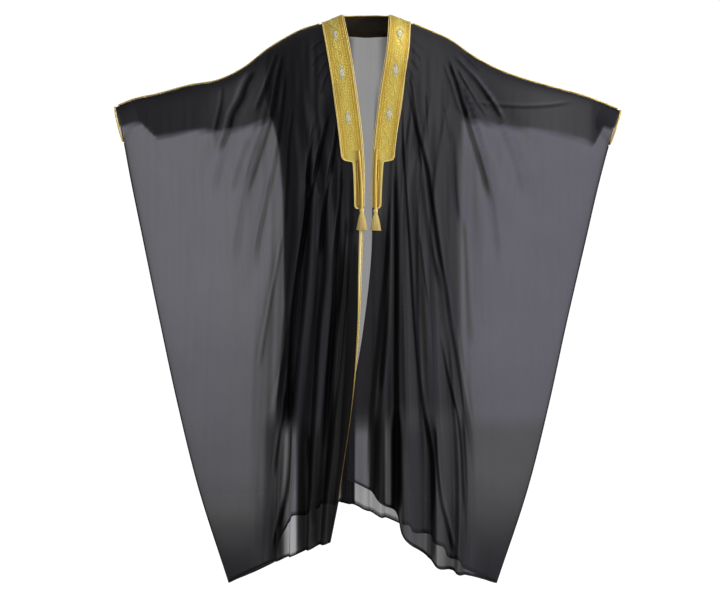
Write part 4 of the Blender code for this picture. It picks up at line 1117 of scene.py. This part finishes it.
collar = thick_strip("band_collar_back", collar_at, np.linspace(-0.999, 0.999, 90) * COLLAR_ARC / 2, BAND_SHARES,
                     lambda down: np.full_like(down, BAND_WIDE), zari)
round_neck = np.linspace(-0.995, 0.995, 120) * COLLAR_ARC / 2
collar_edge = cord(
    "band_edge_collar_back",
    [collar_at(across, round_neck, GIMP_LIFT) for across in (*(BAND_WIDE - inset for inset in GIMP_INSETS), RIM_INSET)],
    cream, **GIMP)
collar_cords = cord(
    "couched_cords_collar_back",
    [collar_at(across, round_neck, COUCHED_LIFT) for across in COUCHED_PLACES]
    + waved_pair(collar_at, round_neck, round_neck), satin, **COUCHED)
leaves = [leaf for down in np.arange(-0.090, 0.091, LEAF_STEP) if abs(down) > COLLAR_CLEAR
          for leaf in leaf_pair(down, *INNER_LEAF)]
leaves += [leaf for down in np.arange(-0.088, 0.089, LEAF_STEP) for leaf in leaf_pair(down, *OUTER_LEAF)]
collar_leaves = sewn("satin_leaves_collar_back", collar_at, leaves, satin)
collar_rose = sewn("rosette_collar_back", collar_at, rosettes([0.0]), silver)
beads = [bead(EDGE_BEADS, down, *INNER_BEAD) for down in np.arange(-0.092, 0.093, 0.0042)]
collar_beads = sewn("beads_collar_back", collar_at, beads, satin, point=0.0, rings=4)
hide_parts("collar_back")
sew_down([collar, collar_edge, collar_cords, collar_leaves, collar_rose, collar_beads])


# ------------------------------------------------------------------ the gold cords on the edges and seams
# Three gold threads are laid into a cord along the top of each arm, round each hand opening, down each front
# edge and round the neckline. Below the band the right front edge also carries a flat gold binding.
SEAM_CORD = {"lay": 0.00120, "threads": 3, "turns": 120.0, "spacing": 0.0026, "sides": 5}
EDGE_CORD = {"radius": 0.0008, "lay": 0.0007, "threads": 3, "turns": 150.0, "spacing": 0.0026, "sides": 5}
CORD_PROUD = 0.0024  # the arm and cuff cords stand this far off the seam
EDGE_PROUD, TUCKED = (0.0021, 0.0008), 0.0022  # the front cords: out from the edge and forward, or in and back
NECK_PROUD = (0.0, -0.0008, 0.0018)
BINDING_WIDTH = (  # drop, width
    (0.51, 0.0085), (0.68, 0.0068), (0.78, 0.0040), (0.95, 0.0026), (1.15, 0.0022), (1.22, 0.0026), (1.27, 0.0048),
    (1.352, 0.0042),
)


def gold_cord(w):
    """Metal thread wound round a silk core, darker low on the front edges."""
    place = w.place()
    wound, patch = w.noise(place, 800.0), w.noise(place, 24.0, 1.0)
    tone = w.mix(wound * 0.6 + patch * 0.4, (0.50, 0.32, 0.04), (0.86, 0.66, 0.20))
    low = w.step(w.along(place, "Z"), -0.86, -1.02)
    tone = w.mix(low * (0.70 + 0.5 * patch), tone, (0.075, 0.046, 0.008))
    return metal_thread(w, tone, wound, 0.6, 0.3, 0.22, 0.35)


def binding_darker_low(w):
    """Flat woven gold braid, pale above and duller towards the hem."""
    place = w.place("band")
    down, speck = w.along(place, "Y"), w.noise(place, 800.0)
    woven = w.maths("SINE", down * (TURN / 0.0022)) * 0.5 + 0.5
    tone = w.mix(w.step(down, 0.66, 0.86), w.mix(speck, (0.62, 0.47, 0.14), (0.90, 0.78, 0.42)),
                 w.mix(speck, (0.30, 0.18, 0.015), (0.58, 0.40, 0.06)))
    tone = w.mix(w.step(down, 0.88, 1.03) * 0.9, tone, w.mix(speck, (0.030, 0.018, 0.005), (0.12, 0.075, 0.012)))
    return {"Base Color": tone, "Metallic": 0.5, "Roughness": 0.36 + 0.2 * speck,
            "Normal": w.bump(0.5, 0.0004, woven * 0.7 + speck * 0.3)}


golden = finish("gold_laid_cord", gold_cord)
neck_line = {}
for side, sign in SIDES.items():
    panel, behind = halves[f"front_{side}"], halves[f"back_{side}"]
    stations = np.concatenate([np.linspace(1.25, 5.0, 110)[:-1], 5 + np.linspace(0, 0.985, 70)])
    along_arm = panel.at(stations, 0.0) + np.array((0.0, 0.0, CORD_PROUD))
    along_arm[:, 1] = 0.0
    arm_cord = cord(f"shoulder_cord_{side}", [along_arm], golden, radius=0.0014, **SEAM_CORD)
    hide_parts(f"shoulder_braid_{side}")

    levels = np.linspace(0.0, CUFF_LEVEL, 40)
    mouth = np.concatenate([panel.at(float(panel.last), levels), behind.at(float(behind.last), levels[::-1])[1:-1]])
    mouth[:, 0] += sign * CORD_PROUD
    cuff_cord = cord(f"cuff_cord_{side}", [mouth], golden, radius=0.0013, closed=True, **SEAM_CORD)
    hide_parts(f"cuff_piping_{side}")

    levels = np.linspace(0.0, 1.0, 400)
    bare_edge, forward = panel.at(0.0, levels), panel.normals(0.0, levels)
    inwards = unit(panel.at(0.12, levels) - bare_edge)
    edge = bare_edge - inwards * EDGE_PROUD[0] + forward * EDGE_PROUD[1]
    below = levels > BAND_END / BAND_LENGTH
    if side == "left":  # this one is tucked behind its edge
        edge[below] = (bare_edge + inwards * TUCKED - forward * TUCKED)[below]
    front_cord = cord(f"front_cord_{side}", [edge[below]], golden, **EDGE_CORD)
    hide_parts(f"front_piping_{side}")
    neck_line[side] = edge[~below]
    sew_down([arm_cord, cuff_cord, front_cord])

binding = thick_strip("front_binding_right", lambda across, down, lift: band_at("right", across, down, lift - 0.0006),
                      np.linspace(0.515, 1.352, 260), np.linspace(0, 1, 5), lambda down: read(BINDING_WIDTH, down),
                      finish("gold_binding", binding_darker_low))
sew_down([binding])

neck_rim = [halves["back_right"].at(np.linspace(1.0, 0.0, 30), 0.0),
            halves["back_left"].at(np.linspace(0.0, 1.0, 30)[1:], 0.0)]
neck_rim = np.concatenate(neck_rim) + np.array(NECK_PROUD)
neck_path = np.concatenate([neck_line["right"][::-1], neck_rim[1:-1], neck_line["left"]])
neck_cord = cord("neck_cord", [neck_path], cream, **EDGE_CORD)
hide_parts("neck_piping")
sew_down([neck_cord])


# ------------------------------------------------------------------ the tassel cords and tassels
# A plaited gold cord is couched down the narrow band on each side. It ends in a wrapped head with a skirt of
# some 180 pale gold threads.
TASSEL_LEVELS = (0.262, 0.372)
TASSEL_SHARE = {"right": (0.18, 0.07), "left": (0.14, 0.21)}
TASSEL_CORD_LIFT = TOP_LIFT + 0.0018
PLAITED = {"radius": 0.0014, "lay": 0.0018, "threads": 4, "turns": 62.0, "spacing": 0.0018}
SKIRT = ((0.0126, 0.0040), (0.0165, 0.0058), (0.026, 0.0084), (0.040, 0.0112), (0.0560, 0.0138))  # drop, radius
HEAD = (  # drop, radius
    (0.0002, 0.0026), (0.0014, 0.0048), (0.0050, 0.0062), (0.0088, 0.0058), (0.0108, 0.0044), (0.0130, 0.0044),
    (0.0160, 0.0052),
)
FLAT, BACK = 0.56, 0.0036  # a tassel is this much flatter than round, and reaches no further back than this
THREADS, GOLDEN_TURN, CORE = 180, TURN * 0.618034, 0.12  # the threads stand evenly round a thin empty core
UNEVEN_ENDS, WAVE, WAVES = 0.02, 0.0004, 180
HEAD_SIDES, WRAP_SIDES, WRAP_RADIUS, WRAP_DROPS = 28, 24, 0.0049, (0.0112, 0.0122, 0.0132)


def thread_gold(w):
    """Pale gold silk and metal threads."""
    strand = w.noise(w.stretched(w.place(), 1400.0, 1400.0, 60.0), 1.0)
    return metal_thread(w, w.mix(strand, (0.42, 0.28, 0.05), (0.80, 0.65, 0.28)), strand, 0.3, 0.38, 0.2, 0.3)


def round_tassel(radius, angle, drop, full=None, wobble=0.0):
    """A point of a tassel, below its top. full is the radius of the whole tassel at this drop."""
    forward = max(0.0, (radius if full is None else full) * FLAT - BACK)
    return np.array((radius * math.cos(angle) + wobble, radius * math.sin(angle) * FLAT - forward, -drop))


threads = finish("gold_tassel_thread", thread_gold)
random = np.random.default_rng(11)
for side in SIDES:
    path = halves[f"front_{side}"].at(np.linspace(*TASSEL_SHARE[side], 60), np.linspace(*TASSEL_LEVELS, 60))
    path[:, 1] -= TASSEL_CORD_LIFT + 0.0010
    tassel_cord = cord(f"plaited_cord_{side}", [path], golden, **PLAITED)
    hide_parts(f"tassel_cord_{side}")
    top, length = path[-1], SKIRT[-1][0]
    strands = []
    for k in range(THREADS):
        angle, inner = k * GOLDEN_TURN, math.sqrt(CORE + (1 - CORE) * (k + 0.5) / THREADS)
        share = 1.0 - UNEVEN_ENDS * random.random()
        wave, phase = WAVE * random.random(), random.random() * TURN
        strands.append([])
        for drop in np.linspace(SKIRT[0][0], length * share, 9):
            full = read(SKIRT, drop)
            wobble = wave * math.sin(drop * WAVES + phase) * (drop / length)
            strands[-1].append(top + round_tassel(full * inner, angle, drop, full, wobble))
    skirt = cord(f"tassel_threads_{side}", strands, threads, radius=0.00052, spacing=0.006, sides=4)
    points = [top + round_tassel(radius, a, drop) for drop, radius in HEAD
              for a in np.arange(HEAD_SIDES) * TURN / HEAD_SIDES]
    last_ring = range(HEAD_SIDES * (len(HEAD) - 1), HEAD_SIDES * len(HEAD))
    faces = [*ring_quads(HEAD_SIDES, len(HEAD)), range(HEAD_SIDES), last_ring[::-1]]
    head = add_piece(f"tassel_head_{side}", points, faces, threads)
    wraps = [[top + round_tassel(WRAP_RADIUS, a, drop) for a in np.arange(WRAP_SIDES) * TURN / WRAP_SIDES]
             for drop in WRAP_DROPS]
    head_wrap = cord(f"tassel_wrap_{side}", wraps, golden, radius=0.0006, spacing=0.0012, sides=5, closed=True)
    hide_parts(f"tassel_{side}")
    sew_down([tassel_cord, skirt, head, head_wrap])


# ------------------------------------------------------------------ the hems of the three cuts go with the cloak
# Each front and the back is one cut of voile. It hangs from the shoulders and the arms, and carries its hems.
for name, width, length, area in (("front_right", 0.70, 1.41, 0.86), ("front_left", 0.77, 1.42, 0.90),
                                  ("back", 1.58, 1.40, 1.85)):
    sew_down(hem_pieces[name])
